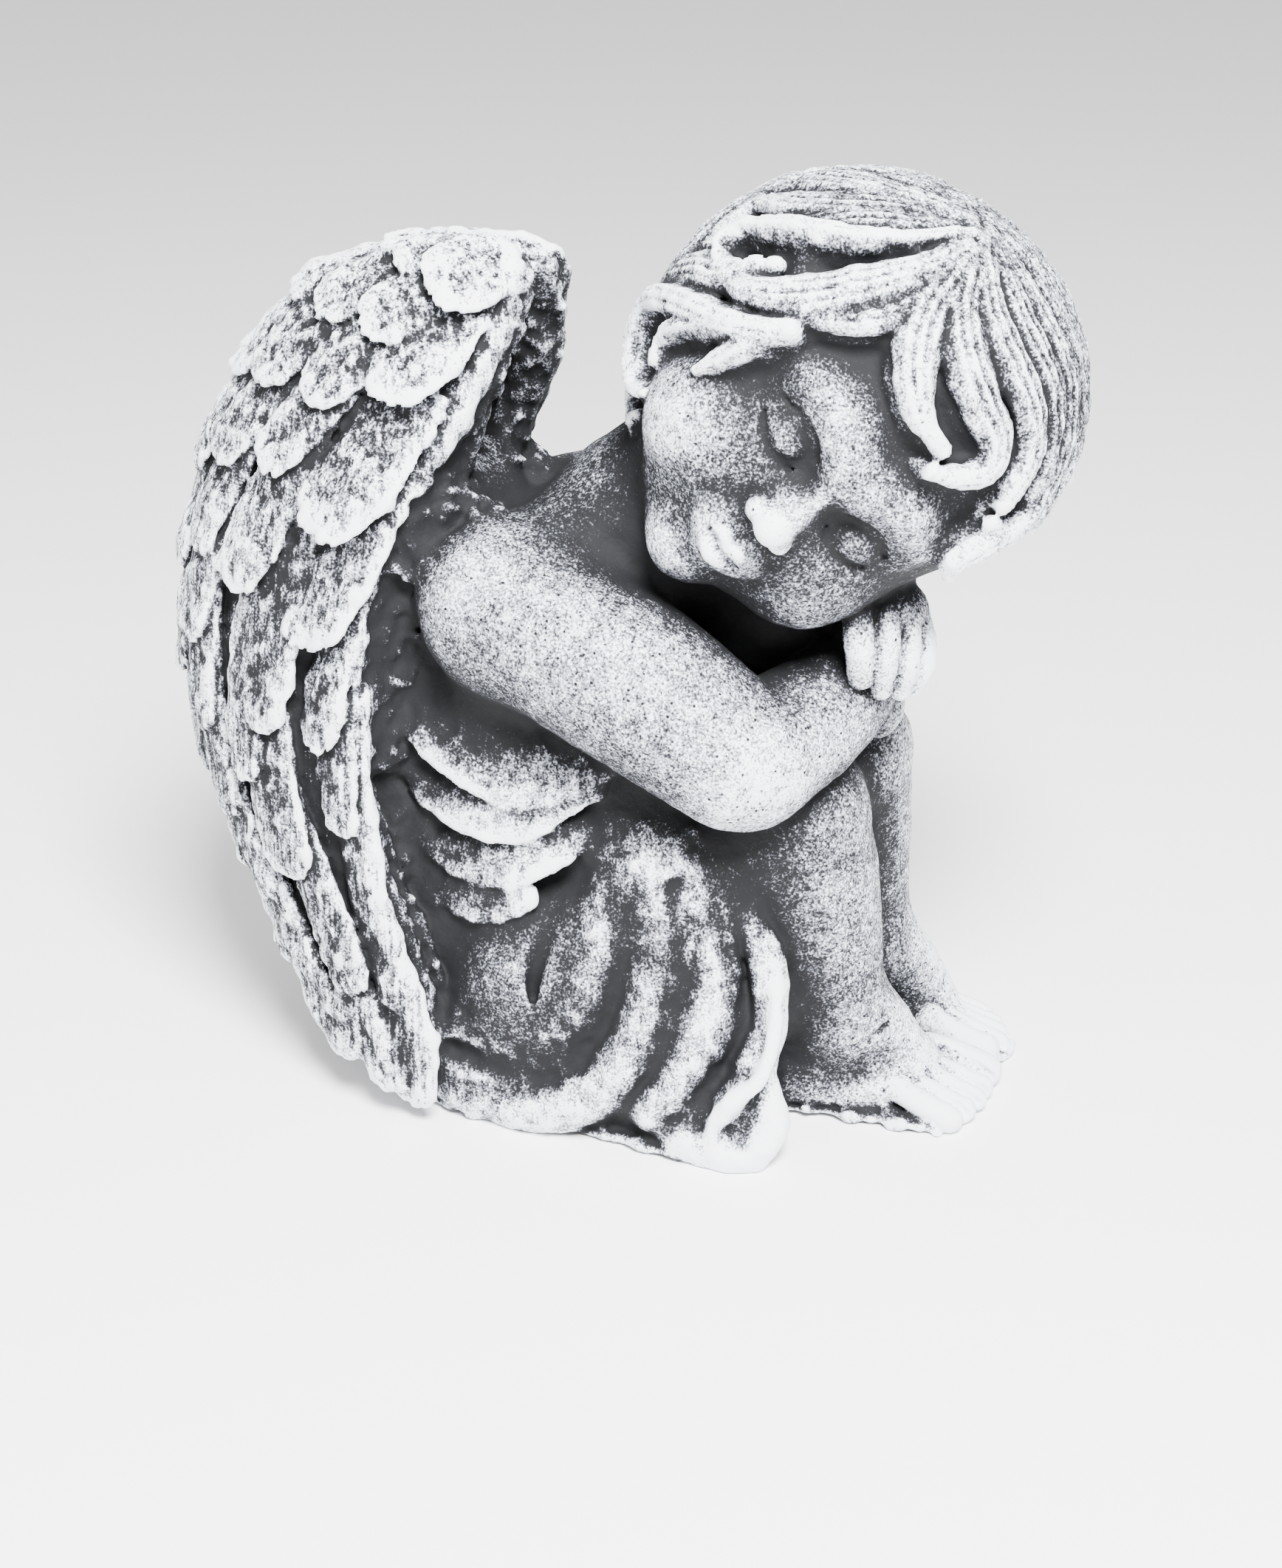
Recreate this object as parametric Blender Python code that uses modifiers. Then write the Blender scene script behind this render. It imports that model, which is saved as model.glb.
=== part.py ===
"""A sleeping angel: a garden statue of cast stone, in one piece.

The figure sits with its knees drawn up, its head laid on its folded arms and its wings closed behind
it. It is built as a sculptor would in clay: balls and drawn-out limbs for the masses, flat ones for the
feathers and locks of hair, all merged into one skin, softened, cut level underneath and thinned.
The clay is measured in millimetres of a figure CLAY_HEIGHT tall, and scaled to HEIGHT in the end.
"""
import math

import bmesh
import bpy
import numpy as np
from mathutils import Matrix, Vector

# The statue's real height in metres, and its height in the clay's own measure.
HEIGHT = 0.31
CLAY_HEIGHT = 310.0
SCALE = HEIGHT / CLAY_HEIGHT
# The middle of the clay figure's bounding box, which is put over the origin.
FIGURE_MIDDLE = (-13.2, -0.1, 0.0)
# The skin over the clay: its fineness, how often it is softened, how many faces are kept, and how much the
# finer
# parts are spared when it is thinned.
SKIN_GRAIN = 2.2
SOFTENING_ROUNDS = 6
FACE_BUDGET = 9700
FINE_FACTOR = 0.013


# The spheres that the clay's balls and limbs are drawn from.
BALL_SIDES = 24
LIMB_SIDES = 14
LIMB_RING_SPACING = 5.0
FEWEST_RINGS = 12
MOST_RINGS = 32
# A limb's rounded end: how far its last two rings reach past the line, and how wide they are, in radii.
END_REACH = (1.0, 0.7)
END_WIDTH = (0.0, 0.72)
# The way the broad side of a round limb faces, which only sets where its rings start.
ANY_FACING = (0.31, -0.87, 0.38)


def unit(vectors):
    vectors = np.asarray(vectors, float)
    return vectors / np.linalg.norm(vectors, axis=-1, keepdims=True)


def smooth_line(points, count):
    """Places spaced along a smooth curve through the points; further columns, such as radii, go with
    them."""
    points = np.asarray(points, float)
    ends = np.vstack([2 * points[0] - points[1], points, 2 * points[-1] - points[-2]])
    at = np.linspace(0, len(points) - 1, count)
    first = np.minimum(at.astype(int), len(points) - 2)
    t = (at - first)[:, None]
    a, b, c, d = (ends[first + k] for k in range(4))
    return 0.5 * (2 * b + (c - a) * t + (2 * a - 5 * b + 4 * c - d) * t**2 + (3 * b - a - 3 * c + d) * t**3)


def new_sphere(sides, rings):
    """A unit sphere on its own, to be shaped and then added to the clay."""
    lump = bmesh.new()
    bmesh.ops.create_uvsphere(lump, u_segments=sides, v_segments=rings, radius=1.0)
    return lump


def add_to_clay(lump):
    """Joins a lump to the clay, as loose geometry until the skin is drawn over it all."""
    mesh = bpy.data.meshes.new("lump")
    lump.to_mesh(mesh)
    lump.free()
    CLAY.from_mesh(mesh)
    bpy.data.meshes.remove(mesh)


def ball(centre, radii, axes=None):
    """A rounded mass; axes are the directions of its three radii where it is turned."""
    turn = Matrix(np.array(axes).T.tolist() if axes is not None else Matrix.Identity(3))
    lump = new_sphere(BALL_SIDES, BALL_SIDES // 2)
    lump.transform(Matrix.Translation(Vector(centre)) @ turn.to_4x4() @ Matrix.Diagonal((*radii, 1.0)))
    add_to_clay(lump)


def limb(points, radii, thicks=None, facing=None):
    """A round-ended mass drawn out along a smooth line; with thicks it is flat, its broad side facing as
    given."""
    points = np.asarray(points, float)
    if thicks is None:
        thicks, facing = radii, [ANY_FACING] * len(points)
    length = np.linalg.norm(np.diff(points, axis=0), axis=1).sum()
    rings = int(np.clip(length / LIMB_RING_SPACING + 6, FEWEST_RINGS, MOST_RINGS))
    ends = len(END_REACH)
    line = smooth_line(np.column_stack([points, radii, thicks, facing]), rings + 1 - 2 * ends)
    runs = unit(np.gradient(line[:, :3], axis=0))
    stations = np.clip(np.arange(rings + 1) - ends, 0, len(line) - 1)
    reaches = np.concatenate([-np.array(END_REACH), np.zeros(len(line)), END_REACH[::-1]])
    widths = np.concatenate([END_WIDTH, np.ones(len(line)), END_WIDTH[::-1]])
    lump = new_sphere(LIMB_SIDES, rings)
    for vertex in lump.verts:
        ring = round(math.acos(max(-1.0, min(1.0, vertex.co.z))) / math.pi * rings)
        station, run = line[stations[ring]], runs[stations[ring]]
        out = unit(station[5:8] - run * (station[5:8] @ run))
        circle = math.hypot(vertex.co.x, vertex.co.y) or 1.0
        across = np.cross(run, out) * station[3] * widths[ring] * vertex.co.x / circle
        rise = out * station[4] * widths[ring] * vertex.co.y / circle
        vertex.co = Vector(station[:3] + run * reaches[ring] * station[3] + across + rise)
    add_to_clay(lump)


# The head lies on its left cheek: these are its own directions in the figure's frame.
HEAD = np.array((60.0, 0.0, 236.0))
LEFT = np.array((0.473, 0.228, -0.849))
FRONT = np.array((0.174, -0.971, -0.164))
CROWN = np.array((0.861, 0.070, 0.498))
HEAD_AXES = (LEFT, FRONT, CROWN)
HAIR_RADIUS = 65.0
HAIR_SWELL = 3.5
WHORL = unit(-0.47 * LEFT - 0.03 * FRONT + 0.88 * CROWN)
BROWWARD = unit(FRONT - WHORL * (FRONT @ WHORL))
LEFTWARD = unit(LEFT - WHORL * (LEFT @ WHORL))

BODY_MIDDLE = -6.0
WING_MIDDLE = -12.0
FAR_WING_DROP = 5.0


def on_head(left, front, up):
    """A place given along the head's own directions from its middle."""
    return HEAD + left * LEFT + front * FRONT + up * CROWN


def on_scalp(reach, bearing):
    """A place on the hair: degrees from the whorl, and degrees round it from the brow toward the left
    ear."""
    reach, bearing = math.radians(reach), math.radians(bearing)
    around = math.cos(bearing) * BROWWARD + math.sin(bearing) * LEFTWARD
    way = math.cos(reach) * WHORL + math.sin(reach) * around
    return HEAD + way * (HAIR_RADIUS + HAIR_SWELL * (1 - way @ FRONT))


def across_body(points, side, middle=BODY_MIDDLE):
    """The points themselves for the near side (-1), or their mirror image for the far side (1)."""
    points = np.array(points, float)
    if side > 0:
        points[..., 1] = 2 * middle - points[..., 1]
    return points


def torso():
    ball((-30, -6, 45), (46, 48, 44))
    ball((-42, -8, 95), (36, 38, 50))
    ball((-32, -8, 145), (38, 38, 42))
    limb([(-30, -8, 160), (-8, -4, 186), (14, -2, 204)], [32, 27, 32])
    for side in (-1, 1):
        ball((-36, -8 + 32 * side, 168), (25, 25, 25))
        limb([(-32, -6 + 28 * side, 178), (-10, -6 + 10 * side, 192)], [20, 22])
    ball((-36, -8, 20), (42, 46, 26))
    # the chest under the chin, the belly against the thighs, and the back between the wings
    ball((32, 4, 166), (24, 26, 22))
    ball((2, -6, 112), (34, 40, 34))
    ball((-62, -12, 178), (20, 28, 30))


def legs():
    limb([(-30, -32, 48), (46, -14, 104)], [32, 25])
    limb([(46, -14, 106), (51, -12, 76), (60, -8, 34)], [24.5, 24.5, 17])
    ball((43, -14, 74), (19, 20, 26))
    limb([(-30, 20, 48), (52, 24, 108)], [32, 23])
    limb([(53, 27, 112), (53, 31, 80), (58, 35, 40)], [21.5, 21, 16])


def foot(heel, ankle, toes):
    """A foot from its heel and ankle to the toes, which are given from the outer side by tip and radius."""
    heel, ankle = np.array(heel, float), np.array(ankle, float)
    tips = np.array([tip for tip, _ in toes], float)
    front = tips.mean(0) - (33, 0, -5)
    width = (tips[:, 1].max() - tips[:, 1].min()) / 2
    ball(heel, (18, 17, 15))
    limb([heel - (0, 0, 6), (heel + front) / 2 - (0, 0, 4), front], [15, width + 1, width + 3], [9, 10, 9],
         [(0, 0, 1)] * 3)
    limb([ankle, (ankle + front) / 2 + (4, 2, 5), front + (12, 3, 2)], [16.5, 14, 8])
    for tip, radius in toes:
        tip = np.array(tip, float)
        root = np.array((tip[0] - 19, tip[1] * 0.8 + front[1] * 0.2, tip[2] + 6))
        limb([root, tip - (8, 0, -3), tip], [radius, radius * 0.9, radius])


NEAR_TOES = (((103, -16, 4.6), 4.6), ((106, -8.5, 4.4), 4.1), ((108, -1, 4.4), 4.1), ((108, 6.5, 4.6), 4.3),
             ((107, 16, 5.8), 5.8))
FAR_TOES = (((103, 29.5, 5.8), 5.6), ((106, 38, 4.6), 3.9), ((105, 44.5, 4.4), 3.6),
            ((102, 50.5, 4.2), 3.4),
            ((98, 56, 4.0), 3.2))


def arms():
    limb([(-39, -45, 175), (2, -50, 159), (38, -47, 136)], [25, 26, 23])
    limb([(42, -44, 134), (56, -20, 142), (62, 4, 147)], [21.5, 18.5, 15])
    limb([(-39, 29, 175), (5, 42, 158), (40, 46, 142)], [25, 24, 22])
    limb([(40, 46, 142), (58, 26, 150), (66, 0, 160)], [21, 15, 12])
    # the right hand, tucked under the left forearm
    ball((68, 6, 136), (9, 10, 11))


# The fingers of the left hand, from the first: radius, and places from the knuckle to the tip.
FINGERS = (
    (4.7, ((68, -17, 180), (69, -24, 176), (71, -28, 168), (71, -25, 158))),
    (4.1, ((75, -13, 179), (77, -20, 173), (78, -23, 164), (76, -20, 153))),
    (3.6, ((80, -9, 177), (83, -15, 170), (84, -18, 161), (81, -15, 151))),
    (3.2, ((83, -4, 173), (87, -10, 167), (88, -13, 159), (84, -10, 150))),
)


def left_hand():
    ball((75, -8, 173), (12, 13, 11))
    ball((73, -10, 161), (11, 10, 10))
    ball((56, -10, 158), (5, 5, 4.5))
    for radius, places in FINGERS:
        limb(places, [radius, radius * 1.06, radius, radius * 0.9])


def head():
    ball(on_head(0, -5, 6), (56, 60, 59), HEAD_AXES)
    ball(on_head(0, 13, -17), (49, 45, 46), HEAD_AXES)
    for side in (-1, 1):
        ball(on_head(26 * side, 33, -29), (20, 20, 20), HEAD_AXES)
    ball(on_head(0, 30, -44), (24, 20, 18), HEAD_AXES)
    ball(on_head(0, 42, -54), (12, 12, 11), HEAD_AXES)


def eye(side):
    """A closed eye under its brow."""
    limb([on_head(8 * side, 54, 9), on_head(19 * side, 52.5, 12), on_head(31 * side, 45, 8)], [3.5, 4, 3.5])
    ball(on_head(18.5 * side, 47.5, -5.5), (10.5, 10, 7.5), HEAD_AXES)


def nose():
    limb([on_head(0, 52, 6), on_head(0, 57, -8), on_head(0, 61.5, -18)], [5, 4.8, 5.0])
    ball(on_head(0, 63.5, -20.5), (5.8, 5.2, 5.2), HEAD_AXES)
    for side in (-1, 1):
        ball(on_head(5.8 * side, 60, -22), (4.0, 4.4, 3.7), HEAD_AXES)


def mouth():
    ball(on_head(0, 54, -37), (13, 7, 9), HEAD_AXES)
    for side in (-1, 1):
        limb([on_head(0.5 * side, 61.2, -35.1), on_head(4 * side, 61, -34.1), on_head(9.5 * side, 56.8,
                                                                                      -36.5)],
             [2.3, 2.6, 1.3])
    limb([on_head(-7.5, 57.6, -40.6), on_head(0, 60.2, -42.6), on_head(7.5, 57.6, -40.6)], [2.0, 3.4, 2.0])


# Locks seen from the front: half width, half thickness, and places on the scalp.
LOCKS = (
    (10, 5.0, ((3, -92), (8, -84), (21, -86), (35, -98), (51, -112), (58, -106), (65, -94), (72, -88))),
    (8, 4.5, ((4, -30), (18, -66), (33, -74), (46, -84), (56, -96), (64, -98))),
    (8, 4.5, ((6, -16), (20, -48), (34, -60), (46, -66), (54, -76), (60, -82))),
    (5.0, 7.5, ((10, -12), (28, -40), (39, -54), (46, -63), (54, -73), (62, -80), (68, -78), (69, -70))),
    (8.5, 7.0, ((15, -9), (30, -20), (42, -30), (54, -39), (62, -48), (67, -58), (68, -68))),
    (6, 4.5, ((20, -8), (34, -12), (46, -20), (55, -31), (60, -42))),
    (7.5, 6.0, ((10, -8), (24, -5), (37, -7), (48, -3), (57, 3), (63, 10), (67, 18))),
    (7.5, 6.0, ((8, 2), (20, 2), (32, 5), (43, 13), (52, 24), (60, 33), (67, 34), (72, 27), (73, 18))),
    (7.5, 5.5, ((6, 14), (20, 15), (32, 24), (43, 37), (53, 46), (62, 49), (70, 47), (77, 45))),
    (7.5, 5.0, ((4, 40), (20, 36), (32, 44), (44, 55), (56, 59), (66, 58), (74, 58))),
    (7.5, 5.0, ((4, 71), (18, 56), (30, 62), (42, 68), (54, 68), (64, 64), (74, 62), (81, 60), (85, 53),
                (82, 44))),
    (8, 5.0, ((3, 120), (15, 86), (31, 80), (45, 78), (59, 78), (72, 72), (84, 66))),
    (8, 5.0, ((4, 157), (16, 112), (30, 97), (45, 92), (60, 88), (76, 84))),
    (6.5, 8.5, ((64, -36), (69, -42), (75, -52), (82, -68), (92, -84), (101, -86), (108, -82), (110, -72),
                (106, -62))),
    (5.0, 6.5, ((68, -44), (77, -54), (84, -62), (92, -68), (99, -66))),
    (5, 5.5, ((63, -38), (72, -42), (81, -46), (89, -50))),
    (9, 5.0, ((50, -104), (63, -103), (74, -98), (84, -92), (96, -92))),
    (8, 5.0, ((60, -62), (69, -66), (76, -78), (88, -92), (96, -98))),
    (6, 5.0, ((82, 56), (88, 47), (95, 42), (101, 44))),
)
# Small curls on the nape.
NAPE_CURLS = (
    ((108, -94), (116, -97), (122, -92), (119, -86)),
    ((104, -102), (113, -106), (121, -104), (124, -98)),
    ((112, -84), (119, -86), (124, -80), (120, -75)),
    ((120, -90), (128, -90), (131, -83), (126, -78)),
    ((118, -104), (126, -102), (131, -95), (129, -89)),
)
# How far the hair under a lock spreads to its sides, and how much lower it lies.
UNDERLAY_SPREAD = 1.1
UNDERLAY_DEPTH = 5.5


def lock(places, width, thick, taper=(0.6, 1.0, 0.4)):
    """One lock of hair lying on the scalp, narrow at the whorl, widest midway and drawn out at its end."""
    points = np.array([on_scalp(*place) for place in places])
    outward = unit(points - HEAD)
    at = np.linspace(0, 1, len(points))
    widths = np.interp(at, (0, 0.45, 1), taper) * width
    thicks = np.interp(at, (0, 0.45, 1), (0.8, 1.0, 0.7)) * thick
    limb(points - UNDERLAY_DEPTH * outward, widths * UNDERLAY_SPREAD, thicks, outward)
    limb(points, widths, thicks, outward)


def hair():
    ball(on_head(0, -10, 8), (62, 62, 62), HEAD_AXES)
    ball(on_head(-10, 8, 28), (39, 39, 39), HEAD_AXES)
    ball(HEAD + 0.76 * (on_scalp(53, -58) - HEAD), (13, 13, 13))
    for side in (-1, 1):
        ball(on_head(37 * side, -12, -20), (18, 21, 23), HEAD_AXES)
    for width, thick, places in LOCKS:
        lock(places, width, thick)
    ball(on_scalp(57, -58), (3.2, 3.2, 3.2))
    for places in NAPE_CURLS:
        lock(places, 4.5, 5.0)
    # the back of the head, in waves from the whorl round to the nape and the left ear
    for k in range(9):
        bearing = 108 + 17 * k
        reaches = range(8, 112, 13)
        places = [(reach, bearing + 9 * math.sin(math.radians(reach * 4 + 70 * k))) for reach in reaches]
        lock(places, 10.5, 5.0)


# The skirt's swags round the waist and its folds falling from the knee: radii, and places on the near side.
SWAGS = (
    ((5, 6, 7, 8, 8.5, 7, 5),
     ((-80, -38, 148), (-76, -43, 133), (-71, -46, 118), (-59, -49, 109), (-40, -50, 107), (-24, -49, 112),
      (-9, -43, 119))),
    ((5, 6, 7, 7.5, 7, 5),
     ((-80, -43, 107), (-76, -46, 98), (-66, -49, 94), (-47, -51, 93), (-28, -51, 96), (-8, -44, 110))),
    ((5, 6, 7, 7, 5), ((-76, -45, 89), (-66, -48, 80), (-46, -52, 75), (-30, -51, 78), (-18, -48, 88))),
    ((3, 4, 4, 3), ((-73, -47, 75), (-59, -51, 70), (-39, -53, 68), (-24, -51, 74))),
)
FOLDS = (
    ((7, 9, 10, 10, 10.5, 10, 9, 8),
     ((5, -40, 99), (-1, -46, 83), (-5, -50, 62), (-12, -52, 43), (-24, -52, 36), (-34, -52, 44),
      (-34, -50, 58), (-28, -48, 71))),
    ((7, 8, 9, 9, 9.5, 10, 9),
     ((12, -40, 99), (13, -46, 80), (14, -50, 60), (11, -54, 40), (0, -57, 20), (-20, -58, 9),
      (-48, -56, 8))),
    ((7, 8, 9, 9, 8, 7),
     ((22, -38, 99), (28, -43, 82), (32, -46, 62), (31, -50, 45), (26, -54, 30), (16, -58, 14))),
    ((5, 5.5, 6, 6, 5.5, 5),
     ((26, -34, 98), (39, -38, 79), (48, -41, 62), (50, -44, 45), (47, -49, 31), (41, -55, 20))),
)


def cloth():
    for side in (-1, 1):
        limb(across_body([(-40, -26, 34), (30, -30, 40)], side), [34, 22])
        limb(across_body([(12, -38, 93), (17, -36, 65), (18, -38, 29),
                          (22, -42, 6)], side), [18, 20, 20, 16])
        limb(across_body([(-50, -40, 20), (0, -38, 16), (30, -40, 12)], side), [26, 22, 18])
        ball(across_body((-48, -30, 70), side), (26, 22, 34))
        ball(across_body((-66, -44, 62), side), (14, 12, 22))
        ball(across_body((-6, -32, 98), side), (20, 17, 18))
        for radii, places in FOLDS:
            limb(across_body(places, side), radii)
        for radii, places in SWAGS:
            limb(across_body(places, side), radii)
    # the corner of the hem, turned up where it meets the ground
    limb([(46, -48, 32), (52, -50, 22), (55, -54, 12), (49, -58, 5), (38, -60, 4),
          (27, -60, 6)], [5, 5, 5.5, 6, 6, 6])
    limb([(22, -50, 10), (36, -50, 10), (46, -50, 12)], [10, 10, 8])


def ground_lip():
    """The thin rough lip of the cast, all round where it stands."""
    limb([(-48, -38, 2), (-10, -34, 2), (24, -40, 2)], [25, 26, 25], [3, 3, 3], [(0, 0, 1)] * 3)
    limb([(-48, 14, 2), (-10, 14, 2), (24, 14, 2)], [25, 26, 25], [3, 3, 3], [(0, 0, 1)] * 3)
    for y in (-6, 32):
        limb([(40, y, 2), (90, y + 4, 2)], [20, 20], [3, 3], [(0, 0, 1)] * 2)


# The wing's two edges from the top of its arch down to its tip.
FRONT_EDGE = ((-41, -29, 276), (-49, -46, 239), (-65, -57, 206), (-78, -62, 170), (-81, -64, 126),
              (-72, -65, 84),
              (-61, -66, 53), (-56, -66, 28), (-61, -65, 3))
BACK_EDGE = ((-45, -24, 283), (-83, -26, 275), (-108, -28, 261), (-124, -29, 242), (-139, -30, 216),
             (-152, -32, 163), (-145, -39, 114), (-124, -48, 73), (-93, -60, 24), (-65, -65, 1))
LEADING_EDGE = ((-41, -26, 273), (-50, -34, 235), (-58, -35, 219), (-59, -34, 206), (-49, -36, 196))
INNER_WALL = ((-42, -24, 272), (-54, -36, 233), (-73, -40, 192), (-81, -42, 166), (-84, -42, 140),
              (-81, -44, 108),
              (-73, -48, 78))
WING_ROOT = ((-63, -26, 204), (-72, -28, 172), (-78, -30, 129), (-72, -34, 87))
# The feathers seen from the front: place across the wing (0 front, 1 back) and down it, of the tip, and
# half width.
FRONT_FEATHERS = (
    (0.33, 0.09, 12), (0.26, 0.20, 12), (0.20, 0.345, 15), (0.13, 0.455, 15.5), (0.08, 0.563, 9),
(0.06, 0.66, 8),
    (0.03, 0.745, 7), (0.12, 0.86, 9), (0.15, 0.99, 11),
)
MIDDLE_FEATHERS = (
    (0.56, 0.085, 11), (0.54, 0.163, 11), (0.52, 0.243, 10), (0.53, 0.32, 10), (0.51, 0.438, 12),
(0.36, 0.564, 13.5),
    (0.50, 0.62, 9), (0.43, 0.721, 12.5), (0.40, 0.85, 10), (0.48, 0.965, 9),
)
# The feathers along the back edge, in even rows: place across, half width, and how many.
BACK_FEATHERS = ((0.76, 11, 11), (0.97, 9, 10))
STATIONS = 60


def evenly(points):
    """The line through the points, with STATIONS places spaced evenly along it."""
    line = smooth_line(points, 300)
    run = np.append(0, np.cumsum(np.linalg.norm(np.diff(line, axis=0), axis=1)))
    at = np.linspace(0, run[-1], STATIONS)
    return np.stack([np.interp(at, run, line[:, k]) for k in range(3)], 1)


FRONT_LINE = evenly(FRONT_EDGE)
BACK_LINE = evenly(BACK_EDGE)


def on_wing(across, down, lift):
    """A place on the near wing's outer side and the way that side faces there."""
    at = min(max(down, 0.0), 1.0) * (STATIONS - 1)
    i = min(int(at), STATIONS - 2)
    front = FRONT_LINE[i] + (FRONT_LINE[i + 1] - FRONT_LINE[i]) * (at - i)
    back = BACK_LINE[i] + (BACK_LINE[i + 1] - BACK_LINE[i]) * (at - i)
    chord = back - front
    run = FRONT_LINE[i + 1] + BACK_LINE[i + 1] - FRONT_LINE[i] - BACK_LINE[i]
    outward = unit(np.cross(chord, run))
    bulge = 0.56 * np.linalg.norm(chord) * across * (1 - across)
    turned = min(max((across - 0.55) / 0.45, 0.0), 1.0) * 0.7
    outward = unit(outward + turned * unit(chord))
    return front + chord * across + outward * (bulge + lift), outward


def wing_strap(side, across, downs, lifts, widths, thicks):
    """A flat strap lying along the wing, on the near side (-1) or mirrored on the far side (1)."""
    across = np.broadcast_to(across, len(downs))
    places = [on_wing(*place) for place in zip(across, downs, lifts)]
    points = across_body([place[0] for place in places], side, WING_MIDDLE)
    facing = across_body([place[1] for place in places], side, 0.0)
    if side > 0:
        points[:, 2] -= FAR_WING_DROP * np.clip(points[:, 2] / 100, 0, 1)
    limb(points, widths, thicks, facing)


# How deep the feathers start, and how far a feather's tip leans back.
FEATHER_LIFT = -0.5
LEAN = 0.05


def feather(side, across, tip, half_width):
    """A round-ended feather, its tip raised over the row below."""
    taper = np.interp(tip, (0.05, 0.2, 0.45, 0.8, 1.0), (0.8, 1.0, 1.0, 0.95, 0.9))
    length = np.interp(tip, (0.05, 0.2, 0.5, 0.8, 1.0), (0.07, 0.14, 0.2, 0.27, 0.34))
    rise = np.interp(tip, (0.0, 0.5, 1.0), (5.5, 5.5, 4.0))
    share = np.linspace(0, 1, 6)
    width = half_width * taper
    downs = tip - length + (length - width / 330) * share
    lifts = FEATHER_LIFT + rise * (0.1 + 0.9 * share**2)
    widths = width * np.array((0.6, 0.75, 0.88, 0.97, 1.0, 0.92))
    thicks = np.array((2.4, 2.6, 2.8, 3.0, 3.0, 2.7))
    wing_strap(side, across - LEAN * (1 - share), np.maximum(downs, 0.005), lifts, widths, thicks)


def wing(side):
    for across, half_width in ((0.14, 12.5), (0.36, 14.5), (0.60, 14.5), (0.86, 10)):
        downs = np.linspace(0.02, 0.94, 14)
        taper = np.interp(downs, (0.02, 0.13, 0.57, 0.94), (0.45, 1, 0.9, 0.45))
        wing_strap(side, across, downs, [-6.0] * 14, half_width * taper, [5.0] * 14)
    rows = list(FRONT_FEATHERS + MIDDLE_FEATHERS)
    for across, half_width, count in BACK_FEATHERS:
        shrink = np.interp(np.linspace(0, 1, count), (0, 0.2, 0.6, 1), (0.8, 1, 0.9, 0.7))
        rows += [(across, tip, half_width * s) for tip, s in zip(np.linspace(0.1, 0.93, count), shrink)]
    for across, tip, half_width in sorted(rows, key=lambda row: -row[1]):
        feather(side, across, tip, half_width)
    drop = np.array((0, 0, FAR_WING_DROP if side > 0 else 0))
    limb(across_body(LEADING_EDGE, side, WING_MIDDLE) - drop, [6, 4.5, 5, 6, 9])
    limb(across_body(INNER_WALL, side, WING_MIDDLE) - drop, [6, 6, 7, 7, 7, 7, 7])
    limb(across_body(WING_ROOT, side, WING_MIDDLE), [9, 14, 16, 16])


def figure():
    torso()
    legs()
    cloth()
    ground_lip()
    wing(1)
    wing(-1)
    arms()
    head()
    nose()
    mouth()
    eye(-1)
    eye(1)
    hair()
    left_hand()
    foot((51, -9, 15), (61, -8, 32), NEAR_TOES)
    foot((48, 34, 15), (60, 34, 36), FAR_TOES)


def clay_object():
    """The loose balls and limbs as one object, in metres, with the middle of its underside over the
    origin."""
    mesh = bpy.data.meshes.new("angel_statue")
    CLAY.to_mesh(mesh)
    CLAY.free()
    mesh.transform(Matrix.Scale(SCALE, 4) @ Matrix.Translation(-Vector(FIGURE_MIDDLE)))
    return bpy.data.objects.new("angel_statue", mesh)


def keep_modified(angel):
    """Makes the modified mesh the object's own."""
    modified = angel.evaluated_get(bpy.context.evaluated_depsgraph_get())
    angel.data = bpy.data.meshes.new_from_object(modified)
    angel.modifiers.clear()


def skin_over(angel):
    """Draws one skin over all the clay and softens it."""
    skin = angel.modifiers.new("skin", "REMESH")
    skin.mode = "VOXEL"
    skin.voxel_size = SKIN_GRAIN * SCALE
    soften = angel.modifiers.new("soften", "SMOOTH")
    soften.factor = 0.5
    soften.iterations = int(SOFTENING_ROUNDS)
    keep_modified(angel)


def cut_level(mesh):
    """Cuts away what is under the ground plane, which leaves the underside open."""
    work = bmesh.new()
    work.from_mesh(mesh)
    whole = work.verts[:] + work.edges[:] + work.faces[:]
    bmesh.ops.bisect_plane(work, geom=whole, dist=1e-6, plane_co=(0, 0, 0), plane_no=(0, 0, -1),
                           clear_outer=True)
    bmesh.ops.triangulate(work, faces=work.faces[:])
    work.to_mesh(mesh)
    work.free()


# The parts that keep the most faces: where they are in the clay, and how far they reach.
FINE_PARTS = ((on_head(0, 50, -14), 33), ((77, -14, 166), 20), ((99, 0, 6), 20), ((98, 43, 8), 18))


def thin_out(angel):
    """Keeps as many faces as the budget allows, most of them on the face, the fingers and the toes."""
    fine = angel.vertex_groups.new(name="fine")
    for middle, reach in FINE_PARTS:
        middle = (Vector(middle) - Vector(FIGURE_MIDDLE)) * SCALE
        near = [v.index for v in angel.data.vertices if (v.co - middle).length < reach * SCALE]
        fine.add(near, 0.5, "REPLACE")
    thin = angel.modifiers.new("thin", "DECIMATE")
    thin.ratio = FACE_BUDGET / len(angel.data.polygons)
    thin.use_collapse_triangulate = True
    thin.vertex_group = fine.name
    thin.invert_vertex_group = True
    thin.vertex_group_factor = FINE_FACTOR
    keep_modified(angel)
    angel.vertex_groups.clear()


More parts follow.
